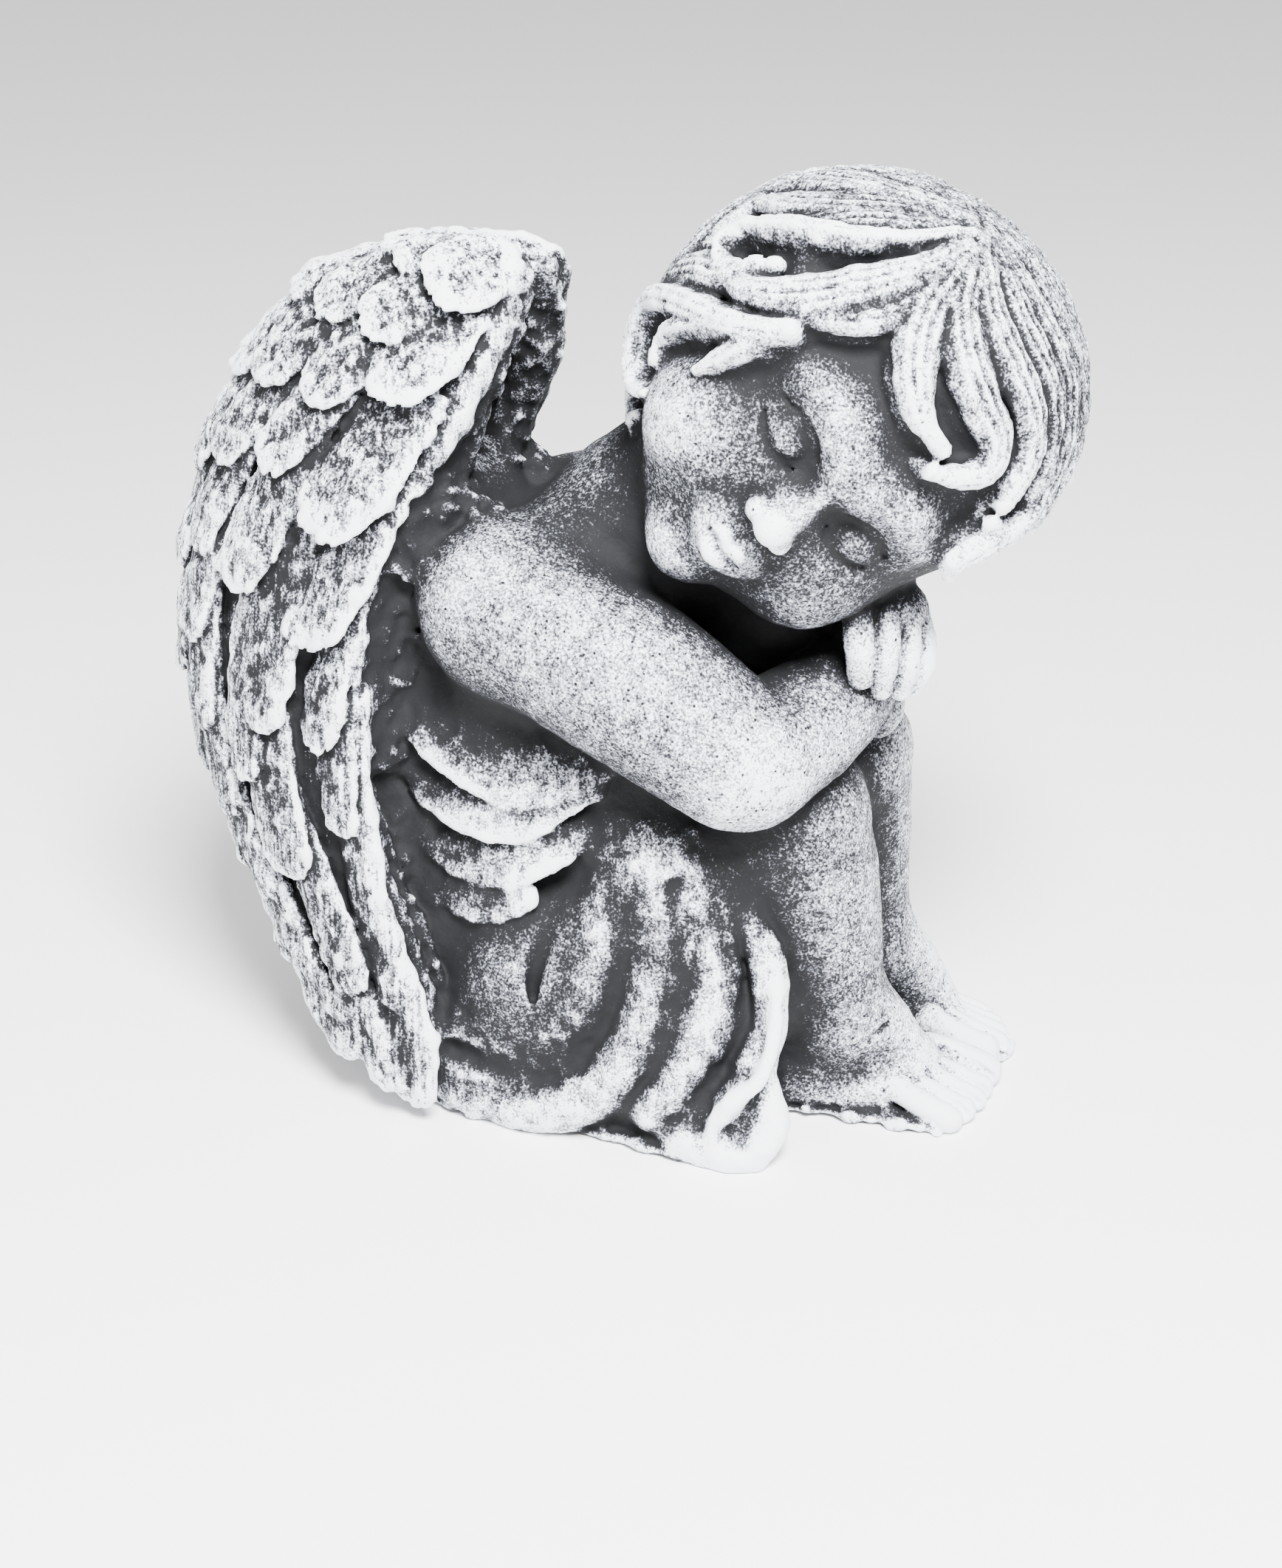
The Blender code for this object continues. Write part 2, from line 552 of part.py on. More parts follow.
def close_underside(mesh):
    """Closes the underside with one flat face, which is then split into triangles."""
    work = bmesh.new()
    work.from_mesh(mesh)
    rim = [edge for edge in work.edges if edge.is_boundary]
    for edge in rim:
        for vertex in edge.verts:
            vertex.co.z = 0.0
    bmesh.ops.holes_fill(work, edges=rim, sides=0)
    bmesh.ops.triangulate(work, faces=work.faces[:])
    work.to_mesh(mesh)
    work.free()


def cast_stone():
    """Concrete dry-brushed white over charcoal grey."""
    material = bpy.data.materials.new("cast_stone")
    material.use_nodes = True
    surface = material.node_tree.nodes["Principled BSDF"]
    surface.inputs["Base Color"].default_value = (0.62, 0.64, 0.67, 1.0)
    surface.inputs["Roughness"].default_value = 0.85
    surface.inputs["Metallic"].default_value = 0.0
    return material


def statue():
    collection = bpy.data.collections.new("angel_statue")
    bpy.context.scene.collection.children.link(collection)
    figure()
    angel = clay_object()
    collection.objects.link(angel)
    skin_over(angel)
    cut_level(angel.data)
    thin_out(angel)
    close_underside(angel.data)
    angel.data.shade_smooth()
    angel.data.set_sharp_from_angle(angle=math.radians(50))
    angel.data.materials.append(cast_stone())


for old in list(bpy.data.objects):
    bpy.data.objects.remove(old)
CLAY = bmesh.new()
statue()
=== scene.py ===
"""A sleeping angel of cast stone, dry-brushed white over charcoal grey.

The surface is modelled as clay: a field that holds, at every point of a fine grid, how far that point
lies outside the figure. Balls and drawn-out limbs are blended into it or carved out of it, with grooves for
the barbs of the feathers and the strands of hair. The finished field becomes a mesh in a few pieces, which
takes the place of the solid. The clay is measured in millimetres, in the figure's own frame; the mesh is in
metres, in the frame of the solid.
"""
import math

import bpy
import numpy as np
import openvdb
from mathutils import Matrix, Vector


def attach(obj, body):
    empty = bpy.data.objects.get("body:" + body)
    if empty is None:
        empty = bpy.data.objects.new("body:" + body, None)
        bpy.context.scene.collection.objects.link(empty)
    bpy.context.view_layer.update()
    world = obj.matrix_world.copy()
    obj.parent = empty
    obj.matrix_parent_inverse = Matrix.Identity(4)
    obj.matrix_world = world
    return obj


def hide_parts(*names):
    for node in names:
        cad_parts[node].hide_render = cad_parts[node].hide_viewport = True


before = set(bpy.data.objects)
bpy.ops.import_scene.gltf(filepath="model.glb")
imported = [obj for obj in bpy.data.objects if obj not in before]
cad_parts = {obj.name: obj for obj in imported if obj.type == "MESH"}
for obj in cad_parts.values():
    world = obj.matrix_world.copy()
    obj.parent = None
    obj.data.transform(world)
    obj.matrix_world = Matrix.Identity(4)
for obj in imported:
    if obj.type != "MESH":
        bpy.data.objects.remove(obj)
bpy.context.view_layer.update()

MM = 0.001
# The middle of the figure's bounding box, which is over the origin in the solid's frame.
FIGURE_MIDDLE = (-13.2, -0.1, 0.0)
# The clay's grid: its corners, its spacing, and the distance beyond which it keeps no values.
CLAY_LOW = (-164.0, -84.0, -6.0)
CLAY_HIGH = (140.0, 82.0, 320.0)
GRAIN = 1.15
FAR = 24.0
# The surface is handed over in so many pieces, side by side along the figure.
PIECES = 5
# What the clay is made as.
KINDS = ("skin", "cloth", "feathers", "hair", "crust_and_shade")


def unit(vectors):
    vectors = np.asarray(vectors, float)
    return vectors / np.linalg.norm(vectors, axis=-1, keepdims=True)


def smooth_line(points, count):
    """Places along a smooth curve through the points. Further columns, such as radii, go with them."""
    points = np.asarray(points, float)
    ends = np.vstack([2 * points[0] - points[1], points, 2 * points[-1] - points[-2]])
    at = np.linspace(0, len(points) - 1, count)
    first = np.minimum(at.astype(int), len(points) - 2)
    t = (at - first)[:, None]
    a, b, c, d = (ends[first + k] for k in range(4))
    return 0.5 * (2 * b + (c - a) * t + (2 * a - 5 * b + 4 * c - d) * t**2 + (3 * b - a - 3 * c + d) * t**3)


class Clay:
    """The field on its grid, and the ways to work it."""

    def __init__(self):
        corners = zip(CLAY_LOW, CLAY_HIGH)
        self.axes = [np.arange(low, high, GRAIN, dtype=np.float32) for low, high in corners]
        self.field = np.full([len(axis) for axis in self.axes], FAR, np.float32)
        self.kinds = np.zeros(self.field.shape, np.int8)
        self.kind = 0

    def use(self, kind):
        """What the lumps that follow are made as, such as skin or hair."""
        self.kind = KINDS.index(kind)

    def window(self, low, high):
        """The part of the grid between two corners, and its coordinates shaped to be added together."""
        cut = []
        for axis, a, b in zip(self.axes, low, high):
            first = max(0, int((a - axis[0]) / GRAIN))
            last = min(len(axis), int((b - axis[0]) / GRAIN) + 2)
            cut.append(slice(first, max(first, last)))
        x, y, z = (axis[part] for axis, part in zip(self.axes, cut))
        return tuple(cut), (x[:, None, None], y[None, :, None], z[None, None, :])

    def work(self, cut, lump, blend, carve):
        """Adds a lump to the clay, or carves it away, with a soft transition of the given width."""
        if not carve:
            self.kinds[cut][lump < self.field[cut]] = self.kind
        old = -self.field[cut] if carve else self.field[cut]
        new = np.minimum(old, lump)
        if blend > 0:
            near = np.maximum(blend - np.abs(old - lump), 0) / blend
            new = new - near * near * (blend / 4)
        self.field[cut] = -new if carve else new


def swelling(parts, radii):
    """Distance outside an ellipsoid, nearly; parts are the places measured along its axes."""
    near = far = 0
    for part, radius in zip(parts, radii):
        share = part / radius
        near = near + share * share
        share = share / radius
        far = far + share * share
    near = np.sqrt(near)
    return near * (near - 1) / np.maximum(np.sqrt(far), 1e-6)


def ball(centre, radii, axes=None, blend=0.0, carve=False):
    """A rounded mass; axes are the directions of its three radii where it is turned."""
    turn = np.array(axes if axes is not None else np.eye(3), np.float32)
    reach = np.sqrt(turn.T**2 @ np.array(radii, float)**2) + blend + 3 * GRAIN
    cut, places = CLAY.window(np.array(centre) - reach, np.array(centre) + reach)
    x, y, z = (place - np.float32(middle) for place, middle in zip(places, centre))
    parts = [x * row[0] + y * row[1] + z * row[2] for row in turn]
    CLAY.work(cut, swelling(parts, np.array(radii, np.float32)), blend, carve)


# A limb is worked in straight stretches: about how long each is, the least and most places on its line, and
# its least radius.
STRETCH_LENGTH = 4.0
STRETCHES = (7, 40)
LEAST_RADIUS = 0.05


def limb(points, radii, thicks=None, facing=None, blend=4.0, carve=False, grooves=None):
    """A round-ended mass drawn out along a smooth line.

    With thicks it is flat, its broad side facing as given. grooves gives the depth cut into it, from the
    share of its length and from the places across and through it, as shares of half its width and thickness.
    """
    points = np.asarray(points, float)
    rows = [points, np.array(radii, float)[:, None]]
    if thicks is not None:
        rows += [np.array(thicks, float)[:, None], np.asarray(facing, float)]
    length = np.linalg.norm(np.diff(points, axis=0), axis=1).sum()
    line = smooth_line(np.hstack(rows), int(np.clip(length / STRETCH_LENGTH, *STRETCHES)))
    line[:, 3:5] = np.maximum(line[:, 3:5], LEAST_RADIUS)
    margin = line[:, 3].max() + blend + 3 * GRAIN
    cut, _ = CLAY.window(line[:, :3].min(0) - margin, line[:, :3].max(0) + margin)
    lump = np.full([part.stop - part.start for part in cut], FAR, np.float32)
    run = np.append(0, np.cumsum(np.linalg.norm(np.diff(line[:, :3], axis=0), axis=1)))
    for k in range(len(line) - 1):
        start, end = line[k], line[k + 1]
        margin = max(start[3], end[3]) + blend + 3 * GRAIN
        low, high = np.minimum(start[:3], end[:3]) - margin, np.maximum(start[:3], end[:3]) + margin
        part, places = CLAY.window(low, high)
        inner = tuple(slice(p.start - c.start, p.stop - c.start) for p, c in zip(part, cut))
        stretch = limb_stretch(places, start, end, run[k:k + 2] / run[-1], grooves)
        np.minimum(lump[inner], stretch, out=lump[inner])
    CLAY.work(cut, lump, blend, carve)


def limb_stretch(places, start, end, shares, grooves):
    """Distance outside one stretch of a limb, between two places on its line."""
    step = end[:3] - start[:3]
    size = float(np.linalg.norm(step))
    way = (step / size).astype(np.float32)
    x, y, z = (place - np.float32(origin) for place, origin in zip(places, start))
    t = np.clip((x * way[0] + y * way[1] + z * way[2]) / np.float32(size), 0, 1)
    radius = np.float32(start[3]) + t * np.float32(end[3] - start[3])
    step = step.astype(np.float32)
    x, y, z = x - t * step[0], y - t * step[1], z - t * step[2]
    if len(start) < 5:
        return np.sqrt(x * x + y * y + z * z) - radius
    thick = np.float32(start[4]) + t * np.float32(end[4] - start[4])
    out = start[5:8] + end[5:8]
    out = unit(out - way * (way @ out)).astype(np.float32)
    side = np.cross(way, out)
    across = x * side[0] + y * side[1] + z * side[2]
    through = x * out[0] + y * out[1] + z * out[2]
    onward = x * way[0] + y * way[1] + z * way[2]
    distance = swelling((across, onward, through), (radius, radius, thick))
    if grooves is not None:
        share = shares[0] + t * (shares[1] - shares[0])
        distance = distance + grooves(share, across / radius, through / thick).astype(np.float32)
    return distance


# The grooves of the feathers' barbs and quills, and of the strands of hair.
BARB_SPACING = 3.4
BARB_DEPTH = 1.1
BARB_SLANT = 8.0
QUILL_DEPTH = 0.5
QUILL_WIDTH = 0.1
STRAND_SPACING = 3.4
STRAND_DEPTH = 1.3


def barbs(length):
    """Slanting grooves on both sides of a feather's quill, for a feather of that length."""

    def depth(share, across, through):
        out = np.abs(across)
        wave = np.cos((share * length - out * BARB_SLANT) / BARB_SPACING * 2 * np.pi)
        quill = np.exp(-(across / QUILL_WIDTH)**2)
        fading = np.clip(1.3 - 0.9 * out, 0, 1) * np.clip(4 * out, 0, 1)
        return BARB_DEPTH * np.maximum(wave, 0)**2 * fading + QUILL_DEPTH * quill
    return depth


def strands(width):
    """Grooves along a lock of hair of that half width."""
    count = max(1, round(2 * width / STRAND_SPACING))

    def depth(share, across, through):
        wave = np.cos(np.clip(across, -1, 1) * count * np.pi + count % 2 * np.pi)
        return STRAND_DEPTH * (0.5 - 0.5 * wave) * np.clip(1.15 - np.abs(across), 0, 1)
    return depth


# The head lies on its left cheek: its middle, and its own directions in the figure's frame.
HEAD = np.array((60.0, 0.0, 236.0))
LEFT = np.array((0.473, 0.228, -0.849))
FRONT = np.array((0.174, -0.971, -0.164))
CROWN = np.array((0.861, 0.070, 0.498))
HEAD_AXES = (LEFT, FRONT, CROWN)
# How far the hair lies from the middle of the head at the brow, and how much farther at the sides.
HAIR_RADIUS = 64.0
HAIR_SWELL = 2.0
# The whorl at the crown, and the two directions that bearings on the scalp are counted from.
WHORL = unit(-0.47 * LEFT - 0.03 * FRONT + 0.88 * CROWN)
BROWWARD = unit(FRONT - WHORL * (FRONT @ WHORL))
LEFTWARD = unit(LEFT - WHORL * (LEFT @ WHORL))

# The planes that the body and the wings are mirrored across, and how much lower the far wing stands.
BODY_MIDDLE = -6.0
WING_MIDDLE = -12.0
FAR_WING_DROP = 5.0


def on_head(left, front, up):
    """A place given along the head's own directions from its middle."""
    return HEAD + left * LEFT + front * FRONT + up * CROWN


def on_scalp(reach, bearing):
    """A place on the hair, by its degrees from the whorl and round it, from the brow to the left ear."""
    reach, bearing = math.radians(reach), math.radians(bearing)
    around = math.cos(bearing) * BROWWARD + math.sin(bearing) * LEFTWARD
    way = math.cos(reach) * WHORL + math.sin(reach) * around
    return HEAD + way * (HAIR_RADIUS + HAIR_SWELL * (1 - way @ FRONT))


def across_body(points, side, middle=BODY_MIDDLE):
    """The points themselves for the near side (-1), or their mirror image for the far side (1)."""
    points = np.array(points, float)
    if side > 0:
        points[..., 1] = 2 * middle - points[..., 1]
    return points


def torso():
    ball((-30, -6, 45), (46, 48, 44))
    ball((-42, -8, 95), (36, 38, 50), blend=14)
    ball((-32, -8, 145), (38, 38, 42), blend=14)
    limb([(-30, -8, 160), (-8, -4, 186), (14, -2, 204)], [32, 27, 32], blend=14)
    for side in (-1, 1):
        ball((-36, -8 + 32 * side, 168), (25, 25, 25), blend=12)
        limb([(-32, -6 + 28 * side, 178), (-10, -6 + 10 * side, 192)], [20, 22], blend=16)
    ball((-36, -8, 20), (42, 46, 26), blend=8)
    # the chest under the chin, the belly against the thighs, and the back between the wings
    ball((32, 4, 166), (24, 26, 22), blend=10)
    ball((2, -6, 112), (34, 40, 34), blend=10)
    ball((-62, -12, 178), (20, 28, 30), blend=10)
    for side in (-1, 1):
        ball(across_body((-48, -26, 132), side), (25, 25, 34), blend=10)


def legs():
    limb([(-30, -32, 48), (46, -14, 104)], [32, 25], blend=8)
    limb([(46, -14, 106), (51, -12, 76), (60, -8, 34)], [24.5, 24.5, 17], blend=3)
    ball((43, -14, 74), (19, 20, 26), blend=6)
    limb([(-30, 20, 48), (52, 24, 108)], [32, 23], blend=8)
    limb([(53, 27, 112), (53, 31, 80), (58, 35, 40)], [21.5, 21, 16], blend=2)


def foot(heel, ankle, toes):
    """A foot from its heel and ankle to the toes, each given by the place of its tip and its radius."""
    heel, ankle = np.array(heel, float), np.array(ankle, float)
    tips = np.array([tip for tip, _ in toes], float)
    front = tips.mean(0) - (33, 0, -5)
    width = (tips[:, 1].max() - tips[:, 1].min()) / 2
    ball(heel, (18, 17, 15), blend=5)
    limb([heel - (0, 0, 6), (heel + front) / 2 - (0, 0, 4), front], [15, width + 1, width + 3], [9, 10, 9],
         [(0, 0, 1)] * 3, blend=5)
    limb([ankle, (ankle + front) / 2 + (4, 2, 5), front + (12, 3, 2)], [16.5, 14, 8], blend=8)
    for tip, radius in toes:
        tip = np.array(tip, float)
        root = np.array((tip[0] - 19, tip[1] * 0.8 + front[1] * 0.2, tip[2] + 6))
        limb([root, tip - (8, 0, -3), tip], [radius, radius * 0.9, radius], blend=0.8)
    for (tip, radius), (beside, _) in zip(toes, toes[1:]):
        gap = (np.array(tip, float) + beside) / 2
        groove = [gap + (-15, 0, radius + 5), gap + (-6, 0, radius + 2), gap + (3, 0, 0)]
        limb(groove, [1.2, 1.7, 1.9], blend=0.6, carve=True)


# The toes of each foot, from its right side to its left: place of the tip, and radius.
NEAR_TOES = (
    ((103, -16, 4.6), 4.6), ((106, -8.5, 4.4), 4.1), ((108, -1, 4.4), 4.1), ((108, 6.5, 4.6), 4.3),
    ((107, 16, 5.8), 5.8),
)
FAR_TOES = (
    ((103, 29.5, 5.8), 5.6), ((106, 38, 4.6), 3.9), ((105, 44.5, 4.4), 3.6), ((102, 50.5, 4.2), 3.4),
    ((98, 56, 4.0), 3.2),
)


def ankle_creases():
    for crease in ([(62, -25, 23), (70, -24.5, 26), (77, -19, 30), (80, -9, 33)],
                   [(76, 17, 38), (81, 26, 39), (82, 36, 38)]):
        limb(crease, [0.6, 1.2, 1.2, 0.6][:len(crease)], blend=1.5, carve=True)
    limb([(46, -26, 24), (56, -28, 22), (64, -27, 21)], [0.6, 1.2, 0.6], blend=1.5, carve=True)


def arms():
    limb([(-39, -45, 175), (2, -50, 159), (38, -47, 136)], [25, 26, 23], blend=9)
    limb([(42, -44, 134), (56, -20, 142), (62, 4, 147)], [21.5, 18.5, 15], blend=2)
    limb([(-39, 29, 175), (5, 42, 158), (40, 46, 142)], [25, 24, 22], blend=9)
    limb([(40, 46, 142), (58, 26, 150), (66, 0, 160)], [21, 15, 12], blend=4)
    # the right hand, tucked under the left forearm
    ball((68, 6, 136), (9, 10, 11), blend=2)


# The fingers of the left hand, from the first: radius, and places from the knuckle to the tip.
FINGERS = (
    (4.7, ((68, -17, 180), (69, -24, 176), (71, -28, 168), (71, -25, 158))),
    (4.1, ((75, -13, 179), (77, -20, 173), (78, -23, 164), (76, -20, 153))),
    (3.6, ((80, -9, 177), (83, -15, 170), (84, -18, 161), (81, -15, 151))),
    (3.2, ((83, -4, 173), (87, -10, 167), (88, -13, 159), (84, -10, 150))),
)


def left_hand():
    ball((75, -8, 173), (12, 13, 11), blend=5)
    ball((73, -10, 161), (11, 10, 10), blend=3)
    ball((56, -10, 158), (5, 5, 4.5), blend=2)
    for radius, places in FINGERS:
        limb(places, [radius, radius * 1.06, radius, radius * 0.9], blend=0.7)


def head():
    ball(on_head(0, -5, 6), (56, 60, 59), HEAD_AXES, blend=6)
    ball(on_head(0, 13, -17), (49, 45, 46), HEAD_AXES, blend=12)
    for side in (-1, 1):
        ball(on_head(26 * side, 33, -29), (20, 20, 20), HEAD_AXES, blend=12)
    ball(on_head(0, 30, -44), (24, 20, 18), HEAD_AXES, blend=8)
    ball(on_head(0, 42, -54), (12, 12, 11), HEAD_AXES, blend=8)


def eye(side):
    ball(on_head(17.5 * side, 61.5, -5), (13, 9, 8), HEAD_AXES, blend=7, carve=True)
    brow = [on_head(8 * side, 54, 9), on_head(19 * side, 52.5, 12), on_head(31 * side, 45, 8)]
    limb(brow, [3, 3.5, 3], blend=14)
    ball(on_head(18.5 * side, 46, -5.5), (10.5, 10, 8), HEAD_AXES, blend=1)
    lash = [on_head(8.5 * side, 52, -8.5), on_head(14 * side, 55.5, -11.5), on_head(20 * side, 55.5, -12),
            on_head(28.5 * side, 50, -8)]
    limb(lash, [0.8, 1.3, 1.3, 0.8], blend=0.8, carve=True)
    fold = [on_head(9 * side, 54.5, -1), on_head(15 * side, 56, 2.2), on_head(22 * side, 54.5, 2.5),
            on_head(29 * side, 49.5, -1)]
    limb(fold, [0.8, 1.0, 1.0, 0.8], blend=0.8, carve=True)


def nose():
    limb([on_head(0, 52, 6), on_head(0, 57, -8), on_head(0, 61.5, -18)], [5, 4.8, 5.0], blend=8)
    ball(on_head(0, 63.5, -20.5), (5.8, 5.2, 5.2), HEAD_AXES, blend=3)
    for side in (-1, 1):
        ball(on_head(5.8 * side, 60, -22), (4.0, 4.4, 3.7), HEAD_AXES, blend=2)
        ball(on_head(3.0 * side, 63, -25.8), (1.6, 2.0, 1.4), HEAD_AXES, blend=0.8, carve=True)


def mouth():
    ball(on_head(0, 54, -37), (13, 7, 9), HEAD_AXES, blend=7)
    limb([on_head(0, 60, -29), on_head(0, 62, -33.5)], [1.2, 1.5], blend=1.2, carve=True)
    for side in (-1, 1):
        lip = [on_head(0.5 * side, 61.2, -35.6), on_head(4 * side, 61, -34.6),
               on_head(9.5 * side, 56.8, -37)]
        limb(lip, [1.6, 2.0, 1.0], blend=1.6)
        line = [on_head(0, 63.6, -38.5), on_head(4 * side, 62.4, -37.9), on_head(9 * side, 57.6, -37.6)]
        limb(line, [0.9, 0.8, 0.6], blend=0.8, carve=True)
    lower_lip = [on_head(-7.5, 57.6, -39.6), on_head(0, 60.2, -41.6), on_head(7.5, 57.6, -39.6)]
    limb(lower_lip, [1.4, 2.8, 1.4], blend=1.6)


# Locks seen from the front: half width, half thickness, and places on the scalp.
LOCKS = (
    (10, 5.0, ((3, -92), (8, -84), (21, -86), (35, -98), (51, -112), (58, -106), (65, -94), (72, -88))),
    (8, 4.5, ((4, -30), (18, -66), (33, -74), (46, -84), (56, -96), (64, -98))),
    (8, 4.5, ((6, -16), (20, -48), (34, -60), (46, -66), (54, -76), (60, -82))),
    (5.0, 7.5, ((10, -12), (28, -40), (39, -54), (46, -63), (54, -73), (62, -80), (68, -78), (69, -70))),
    (8.5, 7.0, ((15, -9), (30, -20), (42, -30), (54, -39), (62, -48), (67, -58), (68, -68))),
    (6, 4.5, ((20, -8), (34, -12), (46, -20), (55, -31), (60, -42))),
    (7.5, 6.0, ((10, -8), (24, -5), (37, -7), (48, -3), (57, 3), (63, 10), (67, 18))),
    (7.5, 6.0, ((8, 2), (20, 2), (32, 5), (43, 13), (52, 24), (60, 33), (67, 34), (72, 27), (73, 18))),
    (7.5, 5.5, ((6, 14), (20, 15), (32, 24), (43, 37), (53, 46), (62, 49), (70, 47), (77, 45))),
    (7.5, 5.0, ((4, 40), (20, 36), (32, 44), (44, 55), (56, 59), (66, 58), (74, 58))),
    (7.5, 5.0,
     ((4, 71), (18, 56), (30, 62), (42, 68), (54, 68), (64, 64), (74, 62), (81, 60), (85, 53), (82, 44))),
    (8, 5.0, ((3, 120), (15, 86), (31, 80), (45, 78), (59, 78), (72, 72), (84, 66))),
    (8, 5.0, ((4, 157), (16, 112), (30, 97), (45, 92), (60, 88), (76, 84))),
    (6.5, 8.5,
     ((64, -36), (69, -42), (75, -52), (82, -68), (92, -84), (101, -86), (108, -82), (110, -72),
      (106, -62))),
    (5.0, 6.5, ((68, -44), (77, -54), (84, -62), (92, -68), (99, -66))),
    (5, 5.5, ((63, -38), (72, -42), (81, -46), (89, -50))),
    (9, 5.0, ((50, -104), (63, -103), (74, -98), (84, -92), (96, -92))),
    (8, 5.0, ((60, -62), (69, -66), (76, -78), (88, -92), (96, -98))),
    (6, 5.0, ((82, 56), (88, 47), (95, 42), (101, 44))),
)
# Small curls on the nape.
NAPE_CURLS = (
    ((108, -94), (116, -97), (122, -92), (119, -86)),
    ((104, -102), (113, -106), (121, -104), (124, -98)),
    ((112, -84), (119, -86), (124, -80), (120, -75)),
    ((120, -90), (128, -90), (131, -83), (126, -78)),
    ((118, -104), (126, -102), (131, -95), (129, -89)),
)
# The hollows inside the curls: place on the scalp and radius.
CURL_HOLLOWS = ((56, -60, 4.5), (60, -66, 4.0), (94, -74, 6.0), (101, -76, 5.0))
# How far the hair under a lock spreads to its sides, and how much lower it lies.
UNDERLAY_SPREAD = 1.1
UNDERLAY_DEPTH = 5.5
# The locks on the back of the head: how many in a row, where the first lies and how far apart they are, in
# degrees, their half width and half thickness, and the degrees that each row runs over and is turned by.
BACK_LOCKS = 9
BACK_LOCKS_START = 108
BACK_LOCKS_STEP = 17
BACK_LOCK_SIZE = (10.5, 5.0)
BACK_LOCK_ROWS = ((72, 136, 9), (8, 100, 0))


def lock(places, width, thick, taper=(0.6, 1.0, 0.4)):
    """One lock of hair lying on the scalp, narrow at the whorl, widest midway and drawn out at its end."""
    points = np.array([on_scalp(*place) for place in places])
    outward = unit(points - HEAD)
    at = np.linspace(0, 1, len(points))
    widths = np.interp(at, (0, 0.45, 1), taper) * width
    thicks = np.interp(at, (0, 0.45, 1), (0.8, 1.0, 0.7)) * thick
    limb(points - UNDERLAY_DEPTH * outward, widths * UNDERLAY_SPREAD, thicks, outward, blend=3)
    limb(points, widths, thicks, outward, blend=0.8, grooves=strands(width))


def hair():
    ball(on_head(0, -6, 5), (57.5, 57.5, 57.5), HEAD_AXES, blend=3)
    ball(on_head(-10, 8, 26), (37, 37, 37), HEAD_AXES, blend=3)
    ball(HEAD + 0.76 * (on_scalp(53, -58) - HEAD), (13, 13, 13), blend=3)
    for side in (-1, 1):
        ball(on_head(37 * side, -12, -20), (18, 21, 23), HEAD_AXES, blend=5)
    for width, thick, places in LOCKS:
        lock(places, width, thick)
    for reach, bearing, size in CURL_HOLLOWS:
        ball(on_scalp(reach, bearing), (size, size, size), blend=2, carve=True)
    ball(on_scalp(57, -58), (3.2, 3.2, 3.2), blend=1)
    for places in NAPE_CURLS:
        lock(places, 4.5, 5.0)
    # the back of the head, in two rows of waves from the whorl down to the nape and the left ear
    for start, end, shift in BACK_LOCK_ROWS:
        for k in range(BACK_LOCKS):
            reaches = np.linspace(start, end, 8)
            wave = 7 * np.sin(np.radians(reaches * 4 + 70 * k))
            bearings = BACK_LOCKS_START + shift + BACK_LOCKS_STEP * k + wave
            lock(zip(reaches, bearings), *BACK_LOCK_SIZE, (0.6, 1.0, 0.75))


# The swags round the waist: half widths of the cloth of each, and its standing lower edge, on the near side.
SWAGS = (
    ((8, 11, 14, 15, 15, 14, 12, 8),
     ((-73, -41, 164), (-74, -46, 148), (-71, -50, 135), (-64, -53, 124), (-50, -56, 116), (-33, -57, 112),
      (-15, -54, 115), (-3, -49, 122))),
    ((6, 9, 10, 10, 9, 6),
     ((-73, -44, 118), (-66, -50, 107), (-53, -55, 101), (-37, -58, 99), (-22, -56, 103), (-6, -49, 115))),
    ((6, 9, 10, 10, 8, 5),
     ((-70, -46, 95), (-62, -51, 88), (-48, -56, 83), (-31, -58, 84), (-17, -55, 91), (-9, -50, 100))),
    ((5, 8, 8, 5),
     ((-65, -50, 75), (-52, -56, 71), (-37, -58, 71), (-26, -57, 76))),
)
# How steeply a swag's cloth slopes out to its edge, and half the cloth's thickness.
EDGE_OUT = 0.42
EDGE_THICKNESS = 2.6
# The skirt's folds falling from the knee: radii, and places on the near side.
FOLDS = (
    ((7, 9, 10, 10, 10.5, 10, 9, 8),
     ((5, -40, 99), (-1, -46, 83), (-5, -50, 62), (-12, -52, 43), (-24, -52, 36), (-34, -52, 44),
      (-34, -50, 58), (-28, -48, 71))),
    ((7, 8, 9, 9, 9.5, 10, 9),
     ((12, -40, 99), (13, -46, 80), (14, -50, 60), (11, -54, 40), (0, -57, 20), (-20, -58, 9),
      (-48, -56, 8))),
    ((7, 8, 9, 9, 8, 7),
     ((22, -38, 99), (28, -43, 82), (32, -46, 62), (31, -50, 45), (26, -54, 30), (16, -58, 14))),
    ((5, 5.5, 6, 6, 5.5, 5),
     ((26, -34, 98), (39, -38, 79), (48, -41, 62), (50, -44, 45), (47, -49, 31), (41, -55, 20))),
)
# The hollows between the folds, which are cut deep.
VALLEYS = (
    ((2, 3.5, 4.5, 5, 5, 4, 3),
     ((8, -58, 90), (7, -62, 71), (3, -65, 54), (-4, -67, 36), (-16, -68, 25), (-34, -67, 22),
      (-51, -64, 26))),
    ((2, 3, 3.5, 3.5, 3), ((21, -54, 92), (23, -59, 76), (24, -62, 60), (22, -65, 43), (14, -68, 26))),
    ((1.5, 2.8, 3.4, 3.4, 2), ((34, -50, 85), (40, -53, 67), (43, -56, 50), (39, -61, 34), (31, -66, 22))),
    ((1.2, 2.0, 2.4, 1.8), ((-18, -54, 84), (-20, -58, 70), (-23, -60, 58), (-24, -60, 48))),
)


